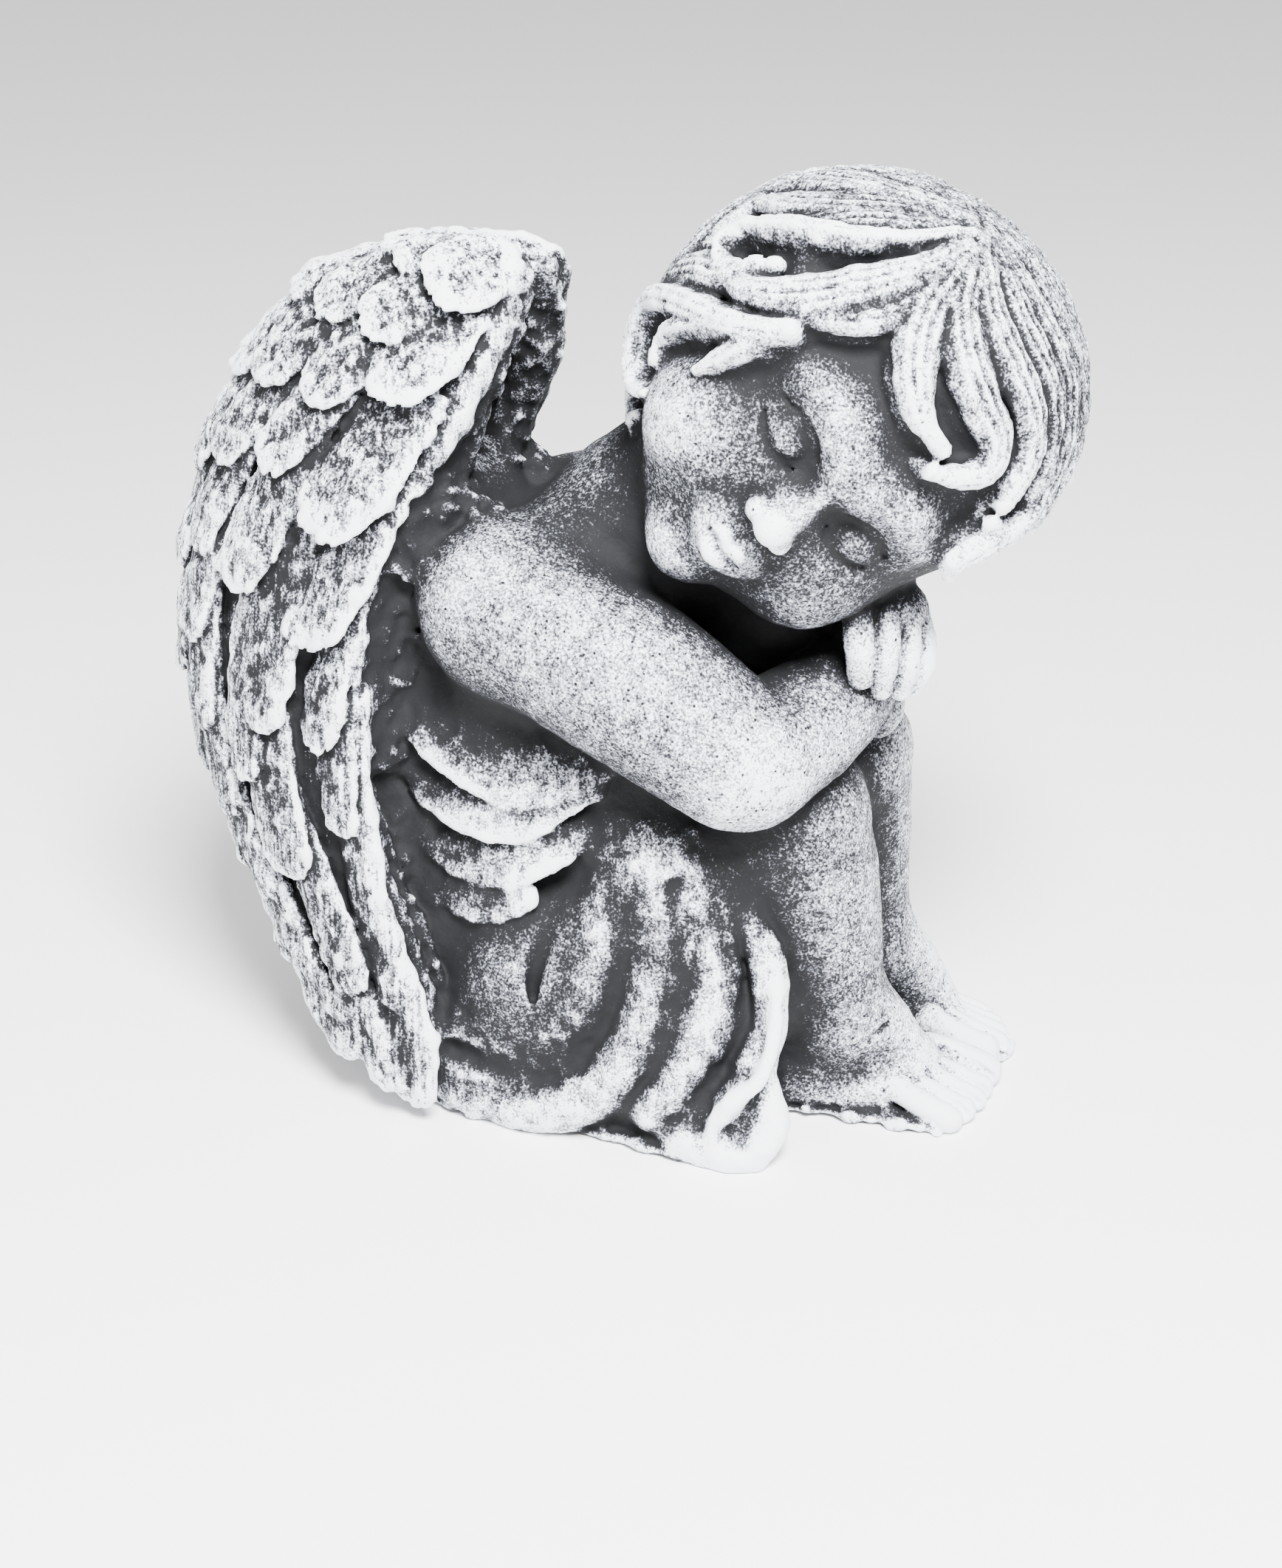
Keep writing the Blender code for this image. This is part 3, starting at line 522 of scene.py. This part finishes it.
def swag(side, edge, widths):
    """A fold that hangs in a bow, its cloth sloping out to the edge."""
    run = unit(np.gradient(edge, axis=0) * (1, 0, 1))
    upward = np.stack([-run[:, 2], 0 * run[:, 0], run[:, 0]], 1)
    outward = np.array((0.0, -1.0, 0.0))
    middle = edge - widths[:, None] * unit(EDGE_OUT * outward - upward)
    facing = across_body(unit(outward + EDGE_OUT * upward), side, 0.0)
    limb(across_body(middle, side), widths, [EDGE_THICKNESS] * len(edge), facing, blend=4)


def cloth():
    for side in (-1, 1):
        limb(across_body([(-40, -26, 34), (30, -30, 40)], side), [34, 22], blend=10)
        drape = [(12, -38, 93), (17, -36, 65), (18, -38, 29), (22, -42, 6)]
        limb(across_body(drape, side), [18, 20, 20, 16], blend=10)
        limb(across_body([(-50, -40, 20), (0, -38, 16), (30, -40, 12)], side), [26, 22, 18], blend=8)
        ball(across_body((-48, -30, 70), side), (26, 22, 34), blend=10)
        ball(across_body((-66, -44, 62), side), (14, 12, 22), blend=8)
        ball(across_body((-6, -32, 98), side), (20, 17, 18), blend=8)
        for radii, places in FOLDS:
            limb(across_body(places, side), radii, blend=3)
        for radii, places in VALLEYS:
            limb(across_body(places, side), radii, blend=4, carve=True)
        for widths, edge in SWAGS:
            swag(side, np.array(edge, float), np.array(widths, float))
    # the corner of the hem, turned up where it meets the ground, and rolled over along its edge
    corner = [(46, -48, 32), (52, -50, 22), (55, -54, 12), (49, -58, 5), (38, -60, 4), (27, -60, 6)]
    limb(corner, [5, 5, 5.5, 6, 6, 6], blend=4)
    limb([(22, -50, 10), (36, -50, 10), (46, -50, 12)], [10, 10, 8], blend=6)
    ball((47, -66, 15), (5.5, 5, 7), blend=4, carve=True)
    rolled_edge = [(53, -46, 60), (54, -52, 44), (52, -57, 32), (44, -61, 24), (38, -63, 15), (40, -63, 7),
                   (47, -61, 3)]
    limb(rolled_edge, [2, 2.2, 2.4, 2.6, 2.4, 2.2, 2], blend=4)


# Half the thickness of the lip, before it is cut level at the ground.
LIP_THICKNESS = 3.0


def ground_lip():
    """The thin rough lip of the cast, all round where it stands."""
    for seat in ([(-48, -38, 2), (-10, -34, 2), (24, -40, 2)], [(-48, 14, 2), (-10, 14, 2), (24, 14, 2)]):
        limb(seat, [25, 26, 25], [LIP_THICKNESS] * 3, [(0, 0, 1)] * 3, blend=2)
    for y in (-6, 32):
        limb([(40, y, 2), (90, y + 4, 2)], [20, 20], [LIP_THICKNESS] * 2, [(0, 0, 1)] * 2, blend=2)


# The wing's two edges from the top of its arch down to its tip.
FRONT_EDGE = (
    (-41, -29, 276), (-49, -46, 239), (-65, -57, 206), (-78, -62, 170), (-81, -64, 126), (-72, -65, 84),
    (-61, -66, 53), (-56, -66, 28), (-61, -65, 3),
)
BACK_EDGE = (
    (-45, -24, 283), (-83, -26, 275), (-108, -28, 261), (-124, -29, 242), (-139, -30, 216),
    (-152, -32, 163), (-145, -39, 114), (-124, -48, 73), (-93, -60, 24), (-65, -65, 1),
)
# The rounded rim from the arch down to the shoulder, and the line where the rough wall meets the root.
LEADING_EDGE = ((-41, -26, 273), (-50, -34, 235), (-58, -35, 219), (-59, -34, 206), (-49, -36, 196))
WALL_EDGE = LEADING_EDGE + ((-58, -36, 176), (-66, -38, 150), (-69, -42, 120))
# The thick of the wing's inner side.
INNER_WALL = (
    (-42, -24, 272), (-54, -36, 233), (-73, -40, 192), (-81, -42, 166), (-84, -42, 140), (-81, -44, 108),
    (-73, -48, 78),
)
# The root, where the wing grows out of the back.
WING_ROOT = ((-63, -26, 204), (-72, -28, 172), (-78, -30, 129), (-72, -34, 87))
# The feathers seen from the front, each by where its tip lies across the wing, from 0 in front to 1 behind,
# and down it, and by its half width.
FRONT_FEATHERS = (
    (0.33, 0.09, 12), (0.26, 0.20, 12), (0.20, 0.345, 15), (0.13, 0.455, 15.5), (0.08, 0.563, 9),
    (0.06, 0.66, 8), (0.03, 0.745, 7), (0.12, 0.86, 9), (0.15, 0.99, 11),
)
MIDDLE_FEATHERS = (
    (0.56, 0.085, 11), (0.54, 0.163, 11), (0.52, 0.243, 10), (0.53, 0.32, 10), (0.51, 0.438, 12),
    (0.36, 0.564, 13.5), (0.50, 0.62, 9), (0.43, 0.721, 12.5), (0.40, 0.85, 10), (0.48, 0.965, 9),
)
# The feathers along the back edge, in even rows: place across, half width, and how many.
BACK_FEATHERS = ((0.76, 11, 11), (0.97, 9, 10))
# The wing's edges are held as so many places, evenly spaced.
STATIONS = 60
# How far the wing bulges between its edges, as a share of its width.
WING_BULGE = 0.56


def evenly(points):
    """The line through the points, with STATIONS places spaced evenly along it."""
    line = smooth_line(points, 300)
    run = np.append(0, np.cumsum(np.linalg.norm(np.diff(line, axis=0), axis=1)))
    at = np.linspace(0, run[-1], STATIONS)
    return np.stack([np.interp(at, run, line[:, k]) for k in range(3)], 1)


FRONT_LINE = evenly(FRONT_EDGE)
BACK_LINE = evenly(BACK_EDGE)


def on_wing(across, down, lift):
    """A place on the near wing's outer side and the way that side faces there."""
    at = min(max(down, 0.0), 1.0) * (STATIONS - 1)
    i = min(int(at), STATIONS - 2)
    front = FRONT_LINE[i] + (FRONT_LINE[i + 1] - FRONT_LINE[i]) * (at - i)
    back = BACK_LINE[i] + (BACK_LINE[i + 1] - BACK_LINE[i]) * (at - i)
    chord = back - front
    run = FRONT_LINE[i + 1] + BACK_LINE[i + 1] - FRONT_LINE[i] - BACK_LINE[i]
    outward = unit(np.cross(chord, run))
    bulge = WING_BULGE * np.linalg.norm(chord) * across * (1 - across)
    turned = min(max((across - 0.55) / 0.45, 0.0), 1.0) * 0.7
    outward = unit(outward + turned * unit(chord))
    return front + chord * across + outward * (bulge + lift), outward


def wing_strap(side, across, downs, lifts, widths, thicks, **look):
    """A flat strap lying along the wing, on the near side (-1) or mirrored on the far side (1)."""
    across = np.broadcast_to(across, len(downs))
    places = [on_wing(*place) for place in zip(across, downs, lifts)]
    points = across_body([place[0] for place in places], side, WING_MIDDLE)
    facing = across_body([place[1] for place in places], side, 0.0)
    if side > 0:
        points[:, 2] -= FAR_WING_DROP * np.clip(points[:, 2] / 100, 0, 1)
    limb(points, widths, thicks, facing, **look)


# Where the outer feathers start from, how thick the wing is, how long its edge is, and how far a feather's
# tip leans back.
FEATHER_LIFT = -0.5
WING_THICKNESS = 11.0
WING_LENGTH = 330.0
LEAN = 0.05


def feather(side, across, tip, half_width, inner=False):
    """A round-ended feather, its tip raised over the row below, on the wing's outer or inner side."""
    taper = np.interp(tip, (0.05, 0.2, 0.45, 0.8, 1.0), (0.8, 1.0, 1.0, 0.95, 0.9))
    length = np.interp(tip, (0.05, 0.2, 0.5, 0.8, 1.0), (0.07, 0.14, 0.2, 0.27, 0.34))
    rise = np.interp(tip, (0.0, 0.5, 1.0), (5.5, 5.5, 4.0))
    share = np.linspace(0, 1, 6)
    width = half_width * taper
    downs = tip - length + (length - width / WING_LENGTH) * share
    lifts = FEATHER_LIFT + rise * (0.1 + 0.9 * share**2)
    if inner:
        lifts = -WING_THICKNESS - 0.5 * lifts
    widths = width * np.array((0.6, 0.75, 0.88, 0.97, 1.0, 0.92))
    thicks = np.array((2.4, 2.6, 2.8, 3.0, 3.0, 2.7))
    leaning = across - LEAN * (1 - share)
    pattern = barbs(WING_LENGTH * length)
    wing_strap(side, leaning, np.maximum(downs, 0.005), lifts, widths, thicks, blend=0.5, grooves=pattern)


# The rough wall: places along it, and how many ridges run across it and how long they are at most.
WALL_STATIONS = 12
RIDGES = 34
RIDGE_LENGTH = 11.0


def wall(side, drop):
    """The rough wall from the wing's front edge in to its root, with ridges running across it."""
    rng = np.random.default_rng(5)
    rim, root = evenly(FRONT_EDGE), evenly(WALL_EDGE)
    at = np.linspace(0.04, 0.95, WALL_STATIONS) * STATIONS
    rim, root = rim[(at * 0.56).astype(int)], root[at.astype(int)]
    outward = unit(np.cross(np.gradient(rim, axis=0), root - rim))
    facing = across_body(outward, side, 0.0)
    middle = across_body((rim + root) / 2, side, WING_MIDDLE) - drop
    limb(middle, np.linalg.norm(root - rim, axis=1) / 2 + 1, [3.5] * WALL_STATIONS, facing, blend=4)
    for row in np.linspace(WALL_STATIONS - 1.01, 0, RIDGES):
        k, t = int(row), row - int(row)
        for share in (0.25, 0.6):
            near = rim[k] * (1 - t) + rim[k + 1] * t
            far = root[k] * (1 - t) + root[k + 1] * t
            start = near + (far - near) * (share + rng.uniform(0, 0.15)) + outward[k] * 0.7
            way = unit(unit(far - near) + rng.uniform(-0.4, 0.4, 3)) * RIDGE_LENGTH * rng.uniform(0.5, 1.0)
            ridge = [start, start + way * 0.5 + outward[k], start + way]
            limb(across_body(ridge, side, WING_MIDDLE) - drop, [1.2, 1.8, 1.0], blend=1)


def wing(side):
    for across, half_width in ((0.14, 12.5), (0.36, 14.5), (0.60, 14.5), (0.86, 10)):
        downs = np.linspace(0.02, 0.94, 14)
        taper = np.interp(downs, (0.02, 0.13, 0.57, 0.94), (0.45, 1, 0.9, 0.45))
        wing_strap(side, across, downs, [-6.0] * 14, half_width * taper, [5.0] * 14, blend=4)
    rows = list(FRONT_FEATHERS + MIDDLE_FEATHERS)
    for across, half_width, count in BACK_FEATHERS:
        shrink = np.interp(np.linspace(0, 1, count), (0, 0.2, 0.6, 1), (0.8, 1, 0.9, 0.7))
        rows += [(across, tip, half_width * s) for tip, s in zip(np.linspace(0.1, 0.93, count), shrink)]
    for across, tip, half_width in sorted(rows, key=lambda row: -row[1]):
        feather(side, across, tip, half_width)
    # The wing's inner side, wall and root are crust, kept dark as bare stone and as painted shade between
    # the wings.
    CLAY.use("crust_and_shade")
    for across in (0.85, 0.5, 0.2):
        for tip in np.linspace(0.92, 0.12, 9):
            feather(side, across, tip, 12, inner=True)
    drop = np.array((0, 0, FAR_WING_DROP if side > 0 else 0))
    limb(across_body(INNER_WALL, side, WING_MIDDLE) - drop, [6, 6, 7, 7, 7, 7, 7], blend=4)
    limb(across_body(WING_ROOT, side, WING_MIDDLE), [9, 14, 16, 16], blend=10)
    wall(side, drop)
    limb(across_body(LEADING_EDGE, side, WING_MIDDLE) - drop, [6, 4.5, 5, 6, 9], blend=4)


def figure():
    torso()
    legs()
    CLAY.use("cloth")
    cloth()
    # The lip is crust, kept dark as bare stone and as painted shade at the ground.
    CLAY.use("crust_and_shade")
    ground_lip()
    for side in (1, -1):
        CLAY.use("feathers")
        wing(side)
    CLAY.use("skin")
    arms()
    head()
    nose()
    mouth()
    eye(-1)
    eye(1)
    CLAY.use("hair")
    hair()
    CLAY.use("skin")
    left_hand()
    foot((51, -9, 15), (61, -8, 32), NEAR_TOES)
    foot((48, 34, 15), (60, 34, 36), FAR_TOES)
    ankle_creases()


def blurred(values, reach):
    """The values averaged over a box of that half width, twice along each axis."""
    for axis in (0, 1, 2) * 2:
        padded = np.moveaxis(values, axis, 0)
        padded = np.concatenate([padded[:1].repeat(reach + 1, 0), padded, padded[-1:].repeat(reach, 0)])
        total = np.cumsum(padded, axis=0, dtype=np.float64)
        mean = (total[2 * reach + 1:] - total[:-2 * reach - 1]) / (2 * reach + 1)
        values = np.moveaxis(mean.astype(np.float32), 0, axis)
    return values


def sampled(values, places):
    """The grid's values at places given in millimetres, in the figure's frame."""
    at = (places - np.array(CLAY_LOW)) / GRAIN
    first = np.clip(at.astype(int), 0, np.array(values.shape) - 2)
    t = np.clip(at - first, 0, 1)
    mix = 0
    for corner in np.ndindex(2, 2, 2):
        weight = np.prod(np.where(corner, t, 1 - t), axis=1)
        mix = mix + weight * values[tuple((first + corner).T)]
    return mix


# How far the casting's roughness stands out, in millimetres, on each kind of surface.
ROUGHNESS = {"skin": 0.10, "cloth": 0.22, "feathers": 0.34, "hair": 0.18, "crust_and_shade": 0.5}
# The sizes of the grains that make the roughness, in grid steps.
GRAINS = (1, 3)


def roughen():
    """Gives the smooth clay the uneven skin of a casting."""
    rng = np.random.default_rng(8)
    uneven = 0
    for reach in GRAINS:
        grains = blurred(rng.standard_normal(CLAY.field.shape, dtype=np.float32), reach)
        uneven = uneven + grains / grains.std()
    depths = np.array([ROUGHNESS[kind] for kind in KINDS], np.float32)
    CLAY.field += uneven * depths[CLAY.kinds]


def surface_of_clay():
    """The clay's surface, cut level at the ground, as places, faces and the ways that the places face."""
    level = np.maximum(CLAY.field, -CLAY.axes[2][None, None, :])
    grid = openvdb.FloatGrid()
    grid.background = FAR
    grid.copyFromArray(level)
    places, _, faces = grid.convertToPolygons(isovalue=0.0, adaptivity=0.0)
    places = places * GRAIN + np.array(CLAY_LOW)
    slopes = [sampled(np.gradient(level, axis=axis), places) for axis in range(3)]
    return places, faces, unit(np.stack(slopes, 1) + 1e-9)


# The paint on each kind of surface, with painted shade and painted light in it: how much where it is flat,
# and how strongly a recess holds it off, judged over each of the reaches round the place, in millimetres.
# Over the two fine reaches this is the dry brush skipping small hollows. Over the two broad ones it is
# painted shade in wide recesses, such as under the arms and between the wings, and painted light on broad
# rounded forms.
PAINT_AND_SHADE_BY_KIND = {
    "skin": (0.235, (1.5, 0.7, 1.7, 1.3)),
    "cloth": (0.26, (2.4, 2.4, 1.7, 0.9)),
    "feathers": (0.21, (2.6, 1.7, 0.8, 0.5)),
    "hair": (0.35, (2.4, 1.5, 0.8, 0.5)),
    # Crust takes almost no paint: it is bare rough stone, and painted shade on the wings' inner sides and
    # roots, between the wings and the body, and on the lip at the ground.
    "crust_and_shade": (-0.04, (3.6, 1.2, 0.4, 0.2)),
}
RELIEF_REACHES = (1.6, 5.0, 15.0, 28.0)
# How much more paint a place takes that faces up: partly the brush catching upper faces, partly painted
# light, the tops painted lighter and the undersides darker as if lit from above.
UPWARD_PAINT_AND_LIGHT = 0.12


def brushed_and_shaded(places, ways):
    """How much white paint each place takes, with painted shade in wide recesses and painted light on broad
    rounded and upward faces, and how far it is each kind of surface.
    """
    filled = np.clip(0.5 - CLAY.field / GRAIN, 0, 1)
    steps = [max(1, round(reach / GRAIN)) for reach in RELIEF_REACHES]
    # The broad reaches paint shade into wide recesses and paint light onto broad rounded forms.
    hollows = [sampled(blurred(filled, step), places) - 0.5 for step in steps]
    shares = {kind: sampled((CLAY.kinds == k).astype(np.float32), places) for k, kind in enumerate(KINDS)}
    # Facing up adds paint and painted light, as if lit from above.
    paint_and_shade = UPWARD_PAINT_AND_LIGHT * ways[:, 2]
    for kind, (level, weights) in PAINT_AND_SHADE_BY_KIND.items():
        # What the recesses hold off: skipped paint over the fine reaches, painted shade over the broad ones.
        held = sum(weight * hollow for weight, hollow in zip(weights, hollows))
        paint_and_shade = paint_and_shade + shares[kind] * (level - held)
    return paint_and_shade, shares


def piece_of_surface(name, places, faces, ways, values):
    """One piece of the surface, in the solid's frame, with the named values kept on its vertices."""
    mesh = bpy.data.meshes.new(name)
    mesh.vertices.add(len(places))
    mesh.vertices.foreach_set("co", ((places - np.array(FIGURE_MIDDLE)) * MM).astype(np.float32).ravel())
    mesh.loops.add(faces.size)
    mesh.loops.foreach_set("vertex_index", faces.astype(np.int32).ravel())
    mesh.polygons.add(len(faces))
    mesh.polygons.foreach_set("loop_start", np.arange(0, faces.size, 4, dtype=np.int32))
    mesh.update(calc_edges=True)
    mesh.shade_smooth()
    mesh.normals_split_custom_set_from_vertices(ways.tolist())
    for label, amounts in values.items():
        stored = mesh.attributes.new(label, "FLOAT", "POINT")
        stored.data.foreach_set("value", amounts.astype(np.float32))
    piece = bpy.data.objects.new(name, mesh)
    bpy.context.scene.collection.objects.link(piece)
    return piece


def surface_pieces():
    """The whole surface, split along the figure into pieces of equal size."""
    places, faces, ways = surface_of_clay()
    paint_and_shade, shares = brushed_and_shaded(places, ways)
    values = {"paint_and_shade": paint_and_shade, **shares}
    order = np.argsort(places[faces, 0].sum(1), kind="stable")
    pieces = []
    for number, chosen in enumerate(np.array_split(order, PIECES), 1):
        used, corners = np.unique(faces[chosen], return_inverse=True)
        held = {label: amounts[used] for label, amounts in values.items()}
        corners = corners.reshape(-1, 4)
        pieces.append(piece_of_surface(f"angel_surface_{number}", places[used], corners, ways[used], held))
    return pieces


class Nodes:
    """A material's node tree, with short ways to add to it."""

    def __init__(self, material):
        material.use_nodes = True
        self.tree = material.node_tree
        self.shader = self.tree.nodes["Principled BSDF"]

    def add(self, kind, inputs=(), **settings):
        node = self.tree.nodes.new(kind)
        for name, value in settings.items():
            setattr(node, name, value)
        for name, value in dict(inputs).items():
            self.put(node.inputs[name], value)
        return node

    def put(self, socket, value):
        if isinstance(value, bpy.types.NodeSocket):
            self.tree.links.new(value, socket)
        else:
            socket.default_value = value

    def math(self, operation, a, b=0.0, third=0.0):
        return self.add("ShaderNodeMath", {0: a, 1: b, 2: third}, operation=operation).outputs[0]

    def noise(self, scale, vector=None):
        inputs = {"Scale": scale, "Detail": 2, "Roughness": 0.6, "Vector": vector or self.place}
        return self.add("ShaderNodeTexNoise", inputs).outputs["Fac"]

    def ramp(self, value, stops):
        node = self.add("ShaderNodeValToRGB", {"Fac": value})
        points = node.color_ramp.elements
        points.remove(points[1])
        points[0].position, points[0].color = stops[0][0], (*stops[0][1], 1.0)
        for position, colour in stops[1:]:
            points.new(position).color = (*colour, 1.0)
        return node.outputs["Color"]

    def stored(self, name):
        return self.add("ShaderNodeAttribute", attribute_name=name).outputs["Fac"]


# The colours from bare stone to full paint; the dark ones also stand for painted shade.
CHARCOAL = (0.0035, 0.0038, 0.0048)
SLATE = (0.018, 0.019, 0.023)
GREY = (0.085, 0.09, 0.105)
PALE = (0.27, 0.285, 0.325)
WHITE = (0.80, 0.825, 0.87)
# How much paint, with its painted shade and painted light, brings out each colour.
PAINT_STOPS = ((0.26, CHARCOAL), (0.40, SLATE), (0.53, GREY), (0.70, PALE), (1.0, WHITE))
# Patches, blotches and specks in the paint: how many to a metre, and how strong.
UNEVEN_PAINT = ((26, 0.3), (150, 0.4), (480, 0.7), (1300, 1.7))
# The brush's streaks: how many to a metre across them, their stretch, and their strength by kind of surface.
STREAKS = 560
STREAK_STRETCH = 0.10
STREAK_STRENGTH = {"feathers": 1.7, "cloth": 0.7, "hair": 0.5, "crust_and_shade": 0.3}
# The pores left by air in the cast: how many to a metre, and their size as a share of their spacing.
PORES = 270
PORE_SIZE = 0.13
PORE_DARKNESS = 0.5
# The grit under the paint: coarse and fine grains to a metre, the coarse ones' share, and the bump's height.
COARSE_GRIT = 160
FINE_GRIT = 700
COARSE_SHARE = 0.8
GRIT_HEIGHT = 0.0006


def dry_brushed_stone():
    """Charcoal stone with white paint dragged over it, which skips the hollows, and with painted shade and
    painted light carried in the stored paint.
    """
    material = bpy.data.materials.new("cast_stone")
    nodes = Nodes(material)
    nodes.place = nodes.add("ShaderNodeTexCoord").outputs["Object"]
    # The stored amount holds the paint together with painted shade and painted light.
    paint_and_shade = nodes.stored("paint_and_shade")
    for scale, weight in UNEVEN_PAINT:
        patch = nodes.math("SUBTRACT", nodes.noise(scale), 0.5)
        paint_and_shade = nodes.math("MULTIPLY_ADD", patch, weight, third=paint_and_shade)
    stretched = nodes.add("ShaderNodeMapping", {"Vector": nodes.place, "Scale": (1, 1, STREAK_STRETCH)})
    streak = nodes.math("SUBTRACT", nodes.noise(STREAKS, stretched.outputs[0]), 0.5)
    for kind, strength in STREAK_STRENGTH.items():
        held = nodes.math("MULTIPLY", nodes.stored(kind), strength)
        paint_and_shade = nodes.math("MULTIPLY_ADD", streak, held, third=paint_and_shade)
    pore = nodes.add("ShaderNodeTexVoronoi", {"Vector": nodes.place, "Scale": PORES}).outputs["Distance"]
    pore = nodes.math("MULTIPLY", nodes.math("LESS_THAN", pore, PORE_SIZE), nodes.stored("skin"))
    paint_and_shade = nodes.math("SUBTRACT", paint_and_shade, nodes.math("MULTIPLY", pore, PORE_DARKNESS))
    nodes.put(nodes.shader.inputs["Base Color"], nodes.ramp(paint_and_shade, PAINT_STOPS))
    nodes.shader.inputs["Roughness"].default_value = 0.8
    nodes.shader.inputs["Specular IOR Level"].default_value = 0.25
    fine_grit = nodes.noise(FINE_GRIT)
    grit = nodes.math("MULTIPLY_ADD", nodes.noise(COARSE_GRIT), COARSE_SHARE, third=fine_grit)
    height = nodes.math("SUBTRACT", grit, pore)
    bump = nodes.add("ShaderNodeBump", {"Strength": 0.4, "Distance": GRIT_HEIGHT, "Height": height})
    nodes.put(nodes.shader.inputs["Normal"], bump.outputs["Normal"])
    return material


# Half the floor's width, and its colour.
FLOOR_REACH = 4.0
FLOOR_COLOUR = (0.95, 0.95, 0.955, 1)
WORLD_STRENGTH = 1.0
# The lamps: where they stand, their width and their power in watts.
LAMPS = {
    "key": ((0.45, -0.75, 1.2), 0.45, 120),
    "fill": ((-0.9, -0.7, 0.6), 0.9, 6),
}
# The height on the statue that the lamps point at.
LAMP_AIM = 0.14


def pale_floor():
    corners = [(x * FLOOR_REACH, y * FLOOR_REACH, 0) for x, y in ((-1, -1), (1, -1), (1, 1), (-1, 1))]
    floor_mesh = bpy.data.meshes.new("floor")
    floor_mesh.from_pydata(corners, [], [(0, 1, 2, 3)])
    floor = bpy.data.objects.new("floor", floor_mesh)
    bpy.context.scene.collection.objects.link(floor)
    paper = bpy.data.materials.new("floor")
    paper.use_nodes = True
    surface = paper.node_tree.nodes["Principled BSDF"]
    surface.inputs["Base Color"].default_value = FLOOR_COLOUR
    surface.inputs["Roughness"].default_value = 0.9
    floor_mesh.materials.append(paper)


def studio_light():
    world = bpy.data.worlds.new("studio")
    world.use_nodes = True
    background = world.node_tree.nodes["Background"]
    background.inputs["Color"].default_value = (1.0, 1.0, 1.0, 1)
    background.inputs["Strength"].default_value = WORLD_STRENGTH
    bpy.context.scene.world = world
    for name, (place, size, watts) in LAMPS.items():
        lamp = bpy.data.lights.new(name, "AREA")
        lamp.size = size
        lamp.energy = watts
        holder = bpy.data.objects.new(name, lamp)
        holder.location = place
        way = Vector((0, 0, LAMP_AIM)) - Vector(place)
        holder.rotation_euler = way.to_track_quat("-Z", "Y").to_euler()
        bpy.context.scene.collection.objects.link(holder)


# The photograph's view of the object: its direction in degrees, its distance and target in metres, how large
# it shows a metre at the target, and the picture's height and the target's row in pixels.
VIEW_AZIMUTH = 20.0
VIEW_ELEVATION = 22.0
VIEW_DISTANCE = 0.85
VIEW_TARGET = (0.0132, -0.0249, 0.15)
PIXELS_PER_METRE = 4330.0
PICTURE_HEIGHT = 2123
TARGET_ROW = 908
SENSOR = 36.0


def camera():
    azimuth, elevation = math.radians(VIEW_AZIMUTH), math.radians(VIEW_ELEVATION)
    level = math.cos(elevation)
    back = Vector((math.sin(azimuth) * level, -math.cos(azimuth) * level, math.sin(elevation)))
    right = Vector((math.cos(azimuth), math.sin(azimuth), 0))
    turn = Matrix((right, back.cross(right), back)).transposed().to_4x4()
    data = bpy.data.cameras.new("camera")
    data.sensor_width = SENSOR
    data.lens = SENSOR * PIXELS_PER_METRE * VIEW_DISTANCE / PICTURE_HEIGHT
    data.shift_y = (TARGET_ROW - PICTURE_HEIGHT / 2) / PICTURE_HEIGHT
    holder = bpy.data.objects.new("camera", data)
    holder.matrix_world = Matrix.Translation(Vector(VIEW_TARGET) + VIEW_DISTANCE * back) @ turn
    bpy.context.scene.collection.objects.link(holder)
    bpy.context.scene.camera = holder


CLAY = Clay()
camera()
figure()
roughen()
stone = dry_brushed_stone()
for piece in surface_pieces():
    piece.data.materials.append(stone)
    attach(piece, "root")
    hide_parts("angel_statue")
pale_floor()
studio_light()
